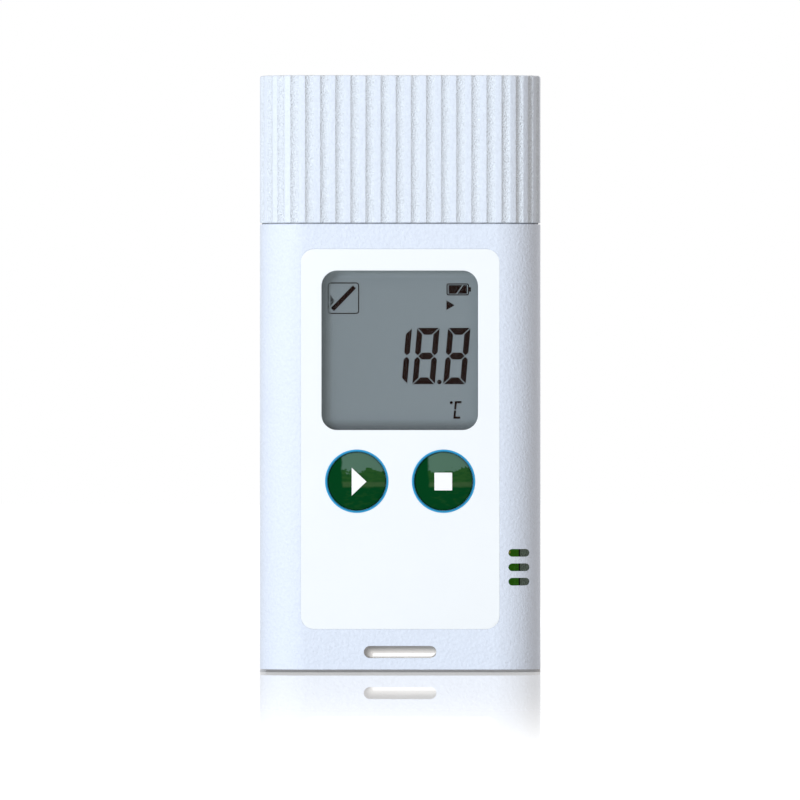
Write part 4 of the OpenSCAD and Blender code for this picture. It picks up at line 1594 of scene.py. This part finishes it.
    def cover_cuts(self, face: float) -> list[Former]:
        """Form what the cover's seat takes away: its mouth, throat, lug groove and gates.

        Args:
            face: The depth of the rear face.

        Returns:
            The cutters, in order.
        """
        cover, tab = Box.of("battery_cover"), Box.of("positive_contact")
        axis, low, gap = (cover.middle.x, cover.middle.z), cover.low.y, self.cover_gap
        mouth = flared_run(face, cover.high.y - self.cover_seat, gap)
        groove = straight(low - gap, low + self.groove_reach + self.fit)
        notch_top = cover.middle.z + 2 * (self.groove + self.collar_wall)
        notch = Former().block((tab.low.x - gap, self.board.high.y, cover.middle.z),
                               (tab.high.x + gap, low - 0.05, notch_top))
        rounds = ((cover.size.x / 2 + gap, mouth), (self.throat, straight(low, face)),
                  (self.groove, groove))
        return [*(prism(Outline.disc(radius, *axis, 32), run) for radius, run in rounds), notch,
                *bayonet(axis, self.gate_turn, self.gate_angle, self.gate_radii,
                         straight(low + 0.02, face))]


@dataclass
class Cap:
    """The fluted cap that covers the plug."""

    wardrobe: Wardrobe
    corner: float = 6.5
    wall: float = 2.0
    top: float = 1.6
    flutes: int = 45
    flute_width: float = 1.26
    flute_depth: float = 0.3
    arris: float = 0.04
    flute_fall: float = 0.93
    top_ease: float = 0.3
    foot_ease: float = 0.03
    inner_ease: float = 0.5
    mouth_flare: float = 0.2
    crown_inset: float = 1.0

    def __post_init__(self) -> None:
        """Take the cap's box and lay out its flutes."""
        self.box = Box.of("usb_cap")
        self.flat = self.box.size.x / 2 - self.corner
        self.side = self.box.size.y / 2 - self.corner
        arc = math.pi * self.corner / 2
        self.half_loop = 2 * self.flat + 2 * self.side + 2 * arc
        self.pitch = 2 * self.half_loop / self.flutes
        half = self.flute_width / 2
        self.flute_radius = (half ** 2 + self.flute_depth ** 2) / (2 * self.flute_depth)

    def loop_point(self, run: float) -> tuple[Vector, Vector]:
        """Find a point on the cap's plain outline.

        Args:
            run: Distance along the outline from the front centre, to the right; it may be negative.

        Returns:
            The point and its outward direction.
        """
        mirrored = -1 if run < 0 else 1
        s = abs(run)
        arc = math.pi * self.corner / 2
        depth, flat, side = self.box.size.y / 2, self.flat, self.side
        if s <= flat:
            point, out = (s, -depth), (0.0, -1.0)
        elif s <= flat + arc:
            point, out = self._corner(-side, -math.pi / 2 + (s - flat) / self.corner)
        elif s <= flat + arc + 2 * side:
            point, out = (flat + self.corner, s - flat - arc - side), (1.0, 0.0)
        elif s <= flat + 2 * arc + 2 * side:
            point, out = self._corner(side, (s - flat - arc - 2 * side) / self.corner)
        else:
            point, out = (self.half_loop - s, depth), (0.0, 1.0)
        return Vector((mirrored * point[0], point[1])), Vector((mirrored * out[0], out[1]))

    def _corner(self, y: float, angle: float) -> tuple[Point, Point]:
        """Find a point on one upright edge and its outward direction."""
        out = (math.cos(angle), math.sin(angle))
        return (self.flat + self.corner * out[0], y + self.corner * out[1]), out

    def section(self) -> list[Point]:
        """Draw one flute and its land.

        Returns:
            Pairs of place along the outline, from the flute's middle, and depth.
        """
        half, radius = self.flute_width / 2, self.flute_radius
        sunk = radius - self.flute_depth
        reach = math.asin(half / radius)
        points: list[Point] = [(-half - self.arris, 0.0), (-half, self.arris / 3)]
        steps = 10
        for k in range(steps + 1):
            angle = reach * self.flute_fall * (2 * k / steps - 1)
            points.append((radius * math.sin(angle), radius * math.cos(angle) - sunk))
        points += [(half, self.arris / 3), (half + self.arris, 0.0)]
        land = self.pitch - self.flute_width - 2 * self.arris
        points += [(half + self.arris + land * k / 3, 0.0) for k in (1, 2)]
        return points

    def stations(self) -> list[Point]:
        """Draw the whole outline as pairs of place along it and depth.

        Returns:
            The pairs, once round the cap.
        """
        section = self.section()
        middle = (self.flutes - 1) // 2
        return [(self._wrapped(i * self.pitch + s), depth)
                for i in range(-middle, middle + 1) for s, depth in section]

    def _wrapped(self, run: float) -> float:
        """Bring a place past the back centre round to the other side.

        Args:
            run: The place along the outline.

        Returns:
            The same place, no further than the back centre.
        """
        if run > self.half_loop:
            return run - 2 * self.half_loop
        if run < -self.half_loop:
            return run + 2 * self.half_loop
        return run

    def build(self) -> bpy.types.Object:
        """Form the cap: fluted outside, eased rims, plain inside.

        Returns:
            The cap.
        """
        stations = [(*self.loop_point(s), depth) for s, depth in self.stations()]
        low, high = self.box.low.z, self.box.high.z
        ceiling = high - self.top
        inside = eased_run(low + self.mouth_flare, ceiling, 0, self.inner_ease)
        outside = eased_run(low, high, self.foot_ease, self.top_ease, 5)
        levels = [(z, self.wall + inset, 0.0) for z, inset in inside[::-1]]
        levels += [(low, self.wall - self.mouth_flare, 0.0)]
        levels += [(z, inset, 1.0) for z, inset in outside] + [(high, self.crown_inset, 0.0)]
        former = Former()
        loops = [former.loop(self._raised(point, out, inset + fluted * depth, z)
                             for point, out, depth in stations) for z, inset, fluted in levels]
        former.skin(loops)
        self._mark_flutes(former, len(stations), len(levels))
        piece = former.made("fluted_cap")
        for finish in (CAP_WHITE, FLUTE_LIT_WHITE):
            piece.data.materials.append(self.wardrobe.material(finish))
        return self.wardrobe.seat(piece, "cap", CAP_WHITE, "cap_white", "usb_cap", sharp=50.0)

    def _mark_flutes(self, former: Former, around: int, levels: int) -> None:
        """Give the faces inside the flutes the second finish: a lighter copy of the cap's plastic
        with a painted highlight, and a finer, deeper grain.

        Args:
            former: The cap's former.
            around: Faces in a band.
            levels: Rings that the bands join.
        """
        former.mesh.faces.ensure_lookup_table()
        section = self.section()
        half = self.flute_width / 2
        for row in range(levels - 1):
            for column in range(around):
                start = section[column % len(section)][0]
                former.mesh.faces[row * around + column].material_index = int(-half <= start < half)

    @staticmethod
    def _raised(point: Vector, out: Vector, inset: float, z: float) -> Vector:
        """Move a point of the outline inward and up."""
        place = point - out * inset
        return Vector((place.x, place.y, z))


@dataclass
class Face:
    """The overlay, the lens and the display behind it."""

    wardrobe: Wardrobe
    ring_gap: float = 0.01
    rim: float = 0.04
    film_set: float = 0.04
    lens_ease: Point = (0.05, 0.1)
    glass_corner: float = 0.4
    glass_ease: float = 0.1

    @staticmethod
    def window() -> Outline:
        """Draw the display window."""
        return Case.window(Box.of("window_lens"))

    def overlay(self) -> bpy.types.Object:
        """Form the overlay film with its window and the holes of the two rings.

        Returns:
            The overlay.
        """
        box = Box.of("front_overlay")
        rings = [Box.of(node) for node in ("start_ring", "stop_ring")]
        holes = [Outline.disc(ring.size.x / 2 + self.ring_gap, ring.middle.x, ring.middle.z)
                 for ring in rings]
        outer = Case.plate_outline(box, OVERLAY_CORNER)
        former = Former().plate(Facing.FRONT, outer, [self.window(), *holes],
                                eased_run(box.low.y + self.film_set, box.high.y, self.rim, 0, 3))
        return self.wardrobe.seat(former.made("overlay_film"), "case", OVERLAY_WHITE,
                                  "overlay_white", "front_overlay")

    def lens(self) -> bpy.types.Object:
        """Form the clear lens.

        Returns:
            The lens.
        """
        box = Box.of("window_lens")
        former = prism(Case.plate_outline(box, LENS_CORNER),
                       eased_run(box.low.y, box.high.y, *self.lens_ease, 3))
        return self.wardrobe.seat(former.made("clear_window"), "case", LENS_CLEAR,
                                  "clear_lens", "window_lens")

    def glass(self) -> bpy.types.Object:
        """Form the display's front glass with its polarizer bonded on, as one plate.

        Returns:
            The plate.
        """
        film, glass = Box.of("lcd_polarizer"), Box.of("lcd_front_glass")
        ease = self.glass_ease
        former = prism(Case.plate_outline(glass, self.glass_corner),
                       eased_run(film.low.y, glass.high.y, ease, ease, 2))
        return self.wardrobe.seat(former.made("display_front"), "case", GLASS_CLEAR,
                                  "display_glass", "lcd_polarizer", "lcd_front_glass")

    def display(self) -> None:
        """Dress the display's layers."""
        window = self.window()
        ground = DisplayGrey("display_grey", srgb(96, 105, 109), 0.6,
                             left=window.u - window.width / 2, right=window.u + window.width / 2,
                             bottom=window.v - window.height / 2, top=window.v + window.height / 2)
        self.wardrobe.dress(ground, "lcd_rear_glass", "lcd_reflector")
        self.wardrobe.dress(INK, "lcd_segments")
        self.wardrobe.dress(HOLDER_WHITE, "lcd_holder")
        self.wardrobe.dress(ZEBRA, "zebra_strip")

    def build(self) -> None:
        """Form and dress everything on the face."""
        self.overlay()
        self.lens()
        self.glass()
        self.display()


@dataclass
class Button:
    """One push button with its mark, its ring and the switch behind it."""

    wardrobe: Wardrobe
    name: str
    mark: Sketch
    dome_set: float = 0.05
    dome_rise: float = 0.18
    rim: float = 0.1
    edge_ease: float = 0.03
    flange: float = 0.75
    flange_thickness: float = 0.5
    flange_set: float = 0.1
    stem: float = 1.3
    mark_depth: float = 0.3
    mark_proud: float = 0.03
    fit: float = 0.05

    def __post_init__(self) -> None:
        """Take the ring's and button's places."""
        self.ring_box = Box.of(f"{self.name}_ring")
        self.button_box = Box.of(f"{self.name}_button")
        self.face = self.ring_box.low.y
        self.radius = self.button_box.size.x / 2 - self.flange
        self.u, self.v = self.ring_box.middle.x, self.ring_box.middle.z

    def dome(self, radius: float) -> float:
        """Give the depth of the domed face at a distance from its middle."""
        sphere = (self.radius ** 2 + self.dome_rise ** 2) / (2 * self.dome_rise)
        return self.face + self.dome_set + sphere - math.sqrt(sphere ** 2 - radius ** 2)

    def key(self) -> bpy.types.Object:
        """Form the button: dome, rounded rim, retaining flange and stem.

        Returns:
            The button.
        """
        steps = 8
        edge = self.radius - self.rim
        profile = [(edge * k / steps, self.dome(edge * k / steps)) for k in range(1, steps + 1)]
        drop = self.dome(edge)
        for k in range(1, 5):
            a = k / 4 * math.pi / 2
            profile.append((edge + self.rim * math.sin(a), drop + self.rim * (1 - math.cos(a))))
        inner = self.face + WALL + self.flange_set
        back = inner + self.flange_thickness
        profile += [(self.radius, inner), (self.radius + self.flange, inner),
                    (self.radius + self.flange, back), (self.stem, back),
                    (self.stem, self.button_box.high.y)]
        piece = Former().turned(profile, self.u, self.v, 96).made(f"{self.name}_key")
        floor = self.face + self.dome_set + self.mark_depth
        carve(piece, Cut.AWAY, prism(self.mark, straight(self.face - OVERRUN, floor)))
        finish = ButtonGloss(f"button_green_{self.name}", srgb(0, 62, 26), 0.12,
                             u=self.u, v=self.v, radius=self.radius)
        return self.wardrobe.seat(piece, f"{self.name}_key", finish, "button_green",
                                  f"{self.name}_button")

    def symbol(self) -> bpy.types.Object:
        """Form the white mark that is let into the button.

        Returns:
            The mark.
        """
        front = self.face + self.dome_set - self.mark_proud
        run = eased_run(front, self.face + self.dome_set + self.mark_depth, self.edge_ease, 0, 2)
        piece = prism(self.mark, run).made(f"{self.name}_symbol")
        return self.wardrobe.seat(piece, f"{self.name}_key", MARK_WHITE, "mark_white",
                                  f"{self.name}_mark")

    def ring(self) -> bpy.types.Object:
        """Form the ring round the button.

        Returns:
            The ring.
        """
        outer = self.ring_box.size.x / 2
        former = Former().plate(Facing.FRONT, Outline.disc(outer, self.u, self.v, 24),
                                [Outline.disc(self.radius + self.fit, self.u, self.v, 24)],
                                eased_run(self.face, self.ring_box.high.y, self.edge_ease, 0, 3))
        finish = RingFilm(f"ring_azure_{self.name}", srgb(60, 165, 216), 0.3,
                          gloss=0.05, coat=0.0, u=self.u, v=self.v, radius=self.radius,
                          width=outer - self.radius)
        return self.wardrobe.seat(former.made(f"{self.name}_inlay"), "case", finish,
                                  "ring_azure", f"{self.name}_ring")

    def build(self) -> None:
        """Form the button's pieces and dress its switch."""
        self.key()
        self.symbol()
        self.ring()
        self.wardrobe.dress(TINNED, f"{self.name}_switch")
        self.wardrobe.dress(BLACK_PLASTIC, f"{self.name}_plunger")


@dataclass
class Plug:
    """The USB plug: a folded steel shell, the tongue and four contacts."""

    wardrobe: Wardrobe
    thickness: float = 4.5
    corner: float = 0.6
    tip_ease: float = 0.12
    sheet: float = 0.3
    hole: Point = (2.3, 1.9)
    hole_corner: float = 0.15
    hole_x: float = 2.5
    hole_drop: float = 6.0
    leg_drop: float = 3.0
    leg_depth: float = 1.6
    leg_set: float = 0.2

    def shell(self) -> bpy.types.Object:
        """Form the steel shell with its four latch holes and two legs.

        Returns:
            The shell.
        """
        box = Box.of("usb_plug_shell")
        plan = Outline(box.size.x, self.thickness, self.corner)
        root, tip = box.low.z + self.leg_drop, box.high.z
        former = Former().plate(Facing.PLAN, plan, [plan.grown(-self.sheet)],
                                eased_run(root, tip, 0, self.tip_ease, 3))
        piece = former.made("plug_shell")
        legs, holes = Former(), Former()
        through = self.thickness / 2 + OVERRUN
        for side in (-1, 1):
            x = sorted((side * box.size.x / 2, side * (box.size.x / 2 - self.sheet)))
            legs.block((x[0], -self.leg_set, box.low.z),
                       (x[1], self.leg_depth - self.leg_set, root + self.sheet))
            latch = Outline(*self.hole, self.hole_corner, side * self.hole_x,
                            tip - self.hole_drop)
            holes.stack(Facing.FRONT, latch, straight(-through, through))
        carve(piece, Cut.JOIN, legs)
        carve(piece, Cut.AWAY, holes)
        return self.wardrobe.seat(piece, "case", PLUG_STEEL, "plug_steel", "usb_plug_shell")

    def build(self) -> None:
        """Form the shell, and dress the tongue and the contacts."""
        self.shell()
        self.wardrobe.dress(TONGUE_WHITE, "usb_plug_tongue")
        self.wardrobe.dress(CONTACT_GOLD, "usb_contacts")


@dataclass
class Board:
    """The circuit board and what is soldered to it."""

    wardrobe: Wardrobe

    def build(self) -> None:
        """Dress the board and its parts."""
        self.wardrobe.dress(BOARD_GREEN, "circuit_board")
        self.wardrobe.dress(CHIP_BLACK, "processor", "memory_chip", "temperature_sensor",
                            "resistors")
        self.wardrobe.dress(TINNED, "processor_leads", "memory_leads", "watch_crystal")
        self.wardrobe.dress(CERAMIC_TAN, "capacitors")


@dataclass
class Battery:
    """The coin cell, its contacts and the cover that turns in the rear shell."""

    wardrobe: Wardrobe
    hub: float = 11.0
    hub_wall: float = 1.2
    hub_floor: float = 0.8
    hub_set: float = 0.4
    disc_thickness: float = 0.8
    slot: Point = (14.0, 1.8)
    slot_depth: float = 1.0
    ease: float = 0.15
    lug_angle: float = 30.4
    lug_reach: float = 1.4
    lug_thickness: float = 0.5

    def __post_init__(self) -> None:
        """Take the cover's box and the depth of the floor under its coin slot."""
        self.box = Box.of("battery_cover")
        self.floor = self.box.high.y - self.slot_depth - self.hub_floor

    def cover(self) -> bpy.types.Object:
        """Form the cover: disc, hub with three lugs, and the coin slot.

        Returns:
            The cover.
        """
        low, high = self.box.low.y, self.box.high.y
        axis = (self.box.middle.x, self.box.middle.z)
        disc = Outline.disc(self.box.size.x / 2, *axis, 32)
        run = eased_run(high - self.disc_thickness, high, 0, self.ease)
        piece = prism(disc, run).made("battery_hatch")
        outer = Outline.disc(self.hub, *axis, 32)
        bowl = prism(outer, [(low - OVERRUN, self.hub_wall), (self.floor, self.hub_wall)])
        lugs = bayonet(axis, 0.0, self.lug_angle,
                       (self.hub - self.hub_wall / 2, self.hub + self.lug_reach),
                       straight(low, low + self.lug_thickness))
        slot = prism(Outline.slot(*self.slot, *axis),
                     flared_run(high, high - self.slot_depth, self.ease))
        carve(piece, Cut.JOIN, prism(outer, straight(low, high - self.hub_set)), *lugs)
        carve(piece, Cut.AWAY, bowl, slot)
        self.wardrobe.dress_faces(piece, (CASE_WHITE, RECESS_SHADE), self.cover_finish)
        return self.wardrobe.seat(piece, "battery_door", CASE_WHITE, "case_white", "battery_cover")

    def cover_finish(self, place: Vector) -> Finish:
        """Pick the finish of a face of the cover: the coin slot is in painted shade.

        Args:
            place: The middle of the face.

        Returns:
            Its finish.
        """
        across, up = abs(place.x - self.box.middle.x), abs(place.z - self.box.middle.z)
        in_slot = across < self.slot[0] / 2 + self.ease and up < self.slot[1] / 2 + self.ease
        sunk = self.floor + 0.1 < place.y < self.box.high.y - 0.3 * self.ease
        return RECESS_SHADE if in_slot and sunk else CASE_WHITE

    def build(self) -> None:
        """Form the cover, and dress the cell and its contacts."""
        self.cover()
        self.wardrobe.dress(CELL_STEEL, "coin_cell")
        self.wardrobe.dress(CONTACT_GOLD, "negative_contact", "positive_contact")


@dataclass
class Rear:
    """What is fastened to the back: the blank label and the four screws."""

    wardrobe: Wardrobe
    screws: Sequence[Point]
    label_ease: float = 0.05
    shank: float = 1.0
    tip: Point = (0.3, 0.8)
    head_ease: float = 0.4
    cross: Point = (2.2, 0.5)
    cross_depth: float = 0.5
    cross_corner: float = 0.15
    cross_taper: float = 0.1

    def __post_init__(self) -> None:
        """Take the depths that the screws reach from and to."""
        box = Box.of("case_screws")
        self.low, self.top = box.low.y, box.high.y

    def label(self) -> bpy.types.Object:
        """Form the label.

        Returns:
            The label.
        """
        box = Box.of("rear_label")
        former = prism(Case.plate_outline(box, LABEL_CORNER),
                       eased_run(box.low.y, box.high.y, 0, self.label_ease, 3))
        return self.wardrobe.seat(former.made("blank_label"), "case", LABEL_WHITE,
                                  "label_white", "rear_label")

    def screw_set(self) -> bpy.types.Object:
        """Form the four screws with rounded, cross-recessed heads.

        Returns:
            The screws, as one piece.
        """
        seat = self.top - SCREW_HEAD_HEIGHT
        tip, taper = self.tip
        profile = [(tip, self.low), (self.shank, self.low + taper), (self.shank, seat)]
        profile += [(SCREW_HEAD - inset, y) for y, inset in
                    eased_run(seat, self.top, 0, self.head_ease)]
        run = [(self.top - self.cross_depth, self.cross_taper), (self.top + OVERRUN, 0.0)]
        former, crosses = Former(), (Former(), Former())
        for u, v in self.screws:
            former.turned(profile, u, v, 40)
            for cross, (w, h) in zip(crosses, (self.cross, self.cross[::-1])):
                cross.stack(Facing.FRONT, Outline(w, h, self.cross_corner, u, v, 3), run)
        piece = carve(former.made("screw_set"), Cut.AWAY, *crosses)
        self.wardrobe.dress_faces(piece, (SCREW_STEEL, SCREW_SHADE), self.screw_finish)
        return self.wardrobe.seat(piece, "case", SCREW_STEEL, "screw_steel", "case_screws")

    def screw_finish(self, place: Vector) -> Finish:
        """Pick the finish of a face of the screws: their crosses are in painted shade.

        Args:
            place: The middle of the face.

        Returns:
            Its finish.
        """
        near = min(math.hypot(place.x - u, place.z - v) for u, v in self.screws)
        sunk = self.top - self.cross_depth - 0.05 < place.y < self.top - 0.02
        return SCREW_SHADE if near < self.cross[0] / 2 + 0.05 and sunk else SCREW_STEEL

    def build(self) -> None:
        """Form the label and the screws."""
        self.label()
        self.screw_set()


@dataclass(frozen=True)
class Lamp:
    """A round soft light: where it hangs, how wide it is and how strongly it lights."""

    name: str
    azimuth: float
    height: float
    size: float
    level: Colour
    distance: float = 700.0

    def hang(self) -> None:
        """Hang the lamp and turn it to the object."""
        data = bpy.data.lights.new(self.name, "AREA")
        data.shape = "DISK"
        data.size = self.size * MM
        data.color = self.level
        data.energy = (math.pi * self.distance * MM) ** 2
        light = bpy.data.objects.new(self.name, data)
        bpy.context.scene.collection.objects.link(light)
        azimuth, height = math.radians(self.azimuth), math.radians(self.height)
        away = Vector((math.sin(azimuth) * math.cos(height),
                       -math.cos(azimuth) * math.cos(height), math.sin(height)))
        light.location = (Vector((0.0, 0.0, 40.0)) + away * self.distance) * MM
        light.rotation_euler = (-away).to_track_quat("-Z", "Y").to_euler()


KEY_LAMP = Lamp("key", -32.5, 12.0, 260.0, (0.62, 0.67, 0.725))
BACK_LAMP = Lamp("back", 160.0, 25.0, 400.0, (0.42, 0.42, 0.42))


@dataclass
class Studio:
    """A white floor and backdrop, soft lamps, and the camera."""

    distance: float = 2500.0
    scale: float = 1 / 7.028
    frame: int = 800
    base_row: float = 672.4
    middle_column: float = 400.2
    front: float = -7.0
    ambient: Colour = (0.48, 0.445, 0.42)
    sheen: float = 0.62
    sheen_start: float = 1.0
    sheen_end: float = 15.0
    floor_colour: float = 0.3
    floor_glow: float = 0.82
    far_glow: float = 0.1
    floor_bounce: float = 0.25
    floor_half: float = 4.0
    floor_drop: float = 0.02
    far_reach: Point = (350.0, 700.0)
    footprint: Point = (20.0, 7.0)

    def camera(self) -> None:
        """Set the camera straight in front, level, at the height of the picture's middle."""
        data = bpy.data.cameras.new("camera")
        camera = bpy.data.objects.new("camera", data)
        bpy.context.scene.collection.objects.link(camera)
        data.sensor_width = 36.0
        data.lens = data.sensor_width * self.distance / (self.frame * self.scale)
        middle = self.frame / 2
        camera.location = Vector(((middle - self.middle_column) * self.scale,
                                  self.front - self.distance,
                                  (self.base_row - middle) * self.scale)) * MM
        camera.rotation_euler = (math.pi / 2, 0.0, 0.0)
        data.clip_end = 20.0
        bpy.context.scene.camera = camera

    def world(self) -> None:
        """Light evenly from all round, and show as white behind the object."""
        world = bpy.data.worlds.new("studio")
        bpy.context.scene.world = world
        world.use_nodes = True
        graph = Graph(world.node_tree)
        tone = graph.mix(self.seen_rays(graph), self.ambient, (1.0, 1.0, 1.0))
        ground = graph.node("ShaderNodeBackground", None, {"Color": tone})
        graph.node("ShaderNodeOutputWorld", None, {"Surface": graph.signal(ground)})

    @staticmethod
    def seen_rays(graph: Graph) -> Signal:
        """Give one for rays that show a surface directly, in gloss or through glass.

        Args:
            graph: The nodes that it is used in.

        Returns:
            One or zero.
        """
        path = graph.node("ShaderNodeLightPath")
        rays = [graph.signal(path, name) for name in
                ("Is Camera Ray", "Is Glossy Ray", "Is Transmission Ray")]
        return (rays[0] + rays[1] + rays[2]).least(1.0)

    def mirror_share(self, graph: Graph) -> Signal:
        """Give how strongly the floor mirrors, fading with the height that it shows.

        Args:
            graph: The floor's nodes.

        Returns:
            The mirror's share.
        """
        x, y, _ = graph.axes()
        gap_x, gap_y = ((abs(place) - half).most(0.0)
                        for place, half in zip((x, y), self.footprint))
        gap = (gap_x * gap_x + gap_y * gap_y) ** 0.5
        eye = (self.base_row - self.frame / 2) * self.scale
        mirrored = eye * gap / (self.distance - gap.least(self.distance / 2))
        return self.sheen * (1 - mirrored.rise(self.sheen_start, self.sheen_end))

    def floor_white(self) -> bpy.types.Material:
        """Mix the floor's finish: matt white that glows, and a mirror for the camera only.

        Returns:
            The material.
        """
        material = bpy.data.materials.new("floor_white")
        material.use_nodes = True
        graph = Graph(material.node_tree)
        seen = self.seen_rays(graph)
        camera_ray = graph.signal(graph.node("ShaderNodeLightPath"), "Is Camera Ray")
        tone = self.floor_colour
        x, y, _ = graph.axes()
        far = (x * x + y * y) ** 0.5
        plain_glow = self.floor_glow + self.far_glow * far.rise(*self.far_reach)
        glow = seen * plain_glow + (1 - seen) * self.floor_bounce
        matt = graph.node("ShaderNodeBsdfDiffuse", None, {"Color": (tone, tone, tone, 1)})
        light = graph.node("ShaderNodeEmission", None, {"Color": (1, 1, 1, 1), "Strength": glow})
        plain = graph.node("ShaderNodeAddShader", None,
                           {"Shader": graph.signal(matt), "Shader_001": graph.signal(light)})
        mirror = graph.node("ShaderNodeBsdfAnisotropic", None,
                            {"Color": (1, 1, 1, 1), "Roughness": 0.0})
        mixed = graph.node("ShaderNodeMixShader", None,
                           {"Fac": self.mirror_share(graph) * camera_ray,
                            "Shader": graph.signal(plain), "Shader_001": graph.signal(mirror)})
        graph.node("ShaderNodeOutputMaterial", None, {"Surface": graph.signal(mixed)})
        return material

    def floor(self) -> None:
        """Lay the floor: plain white, with a shadow and a reflection that fades outward."""
        data = bpy.data.meshes.new("floor")
        half = self.floor_half
        data.from_pydata([(-half, -half, 0), (half, -half, 0), (half, half, 0), (-half, half, 0)],
                         [], [(0, 1, 2, 3)])
        data.materials.append(self.floor_white())
        floor = bpy.data.objects.new("floor", data)
        floor.location.z = -self.floor_drop * MM
        bpy.context.scene.collection.objects.link(floor)

    def build(self) -> None:
        """Set up the whole studio."""
        bpy.context.scene.view_settings.view_transform = "Standard"
        self.camera()
        self.world()
        for lamp in (KEY_LAMP, BACK_LAMP):
            lamp.hang()
        self.floor()


def marks() -> dict[str, Sketch]:
    """Draw the marks of the two buttons, each a little off its button's middle.

    Returns:
        Each mark, by its button's name.
    """
    start, stop = Box.of("start_ring").middle, Box.of("stop_ring").middle
    triangle, side = ((-0.78, -2.0), (1.34, 0.0), (-0.78, 2.0)), 2.54
    return {
        "start": Corners(triangle, start.x + 0.04, start.z - 0.06),
        "stop": Outline(side, side, 0.1, stop.x - 0.04, stop.z - 0.04, 2),
    }


def main() -> None:
    """Build the logger round its frame, then the studio."""
    logging.basicConfig(level=logging.INFO, format="%(name)s: %(message)s")
    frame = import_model()
    wardrobe = Wardrobe(frame["nodes"])
    case = Case(wardrobe)
    case.front()
    case.rear()
    Cap(wardrobe).build()
    Face(wardrobe).build()
    for name, mark in marks().items():
        Button(wardrobe, name, mark).build()
    Plug(wardrobe).build()
    Board(wardrobe).build()
    Battery(wardrobe).build()
    Rear(wardrobe, case.screws).build()
    Studio().build()


if __name__ == "__main__":
    main()
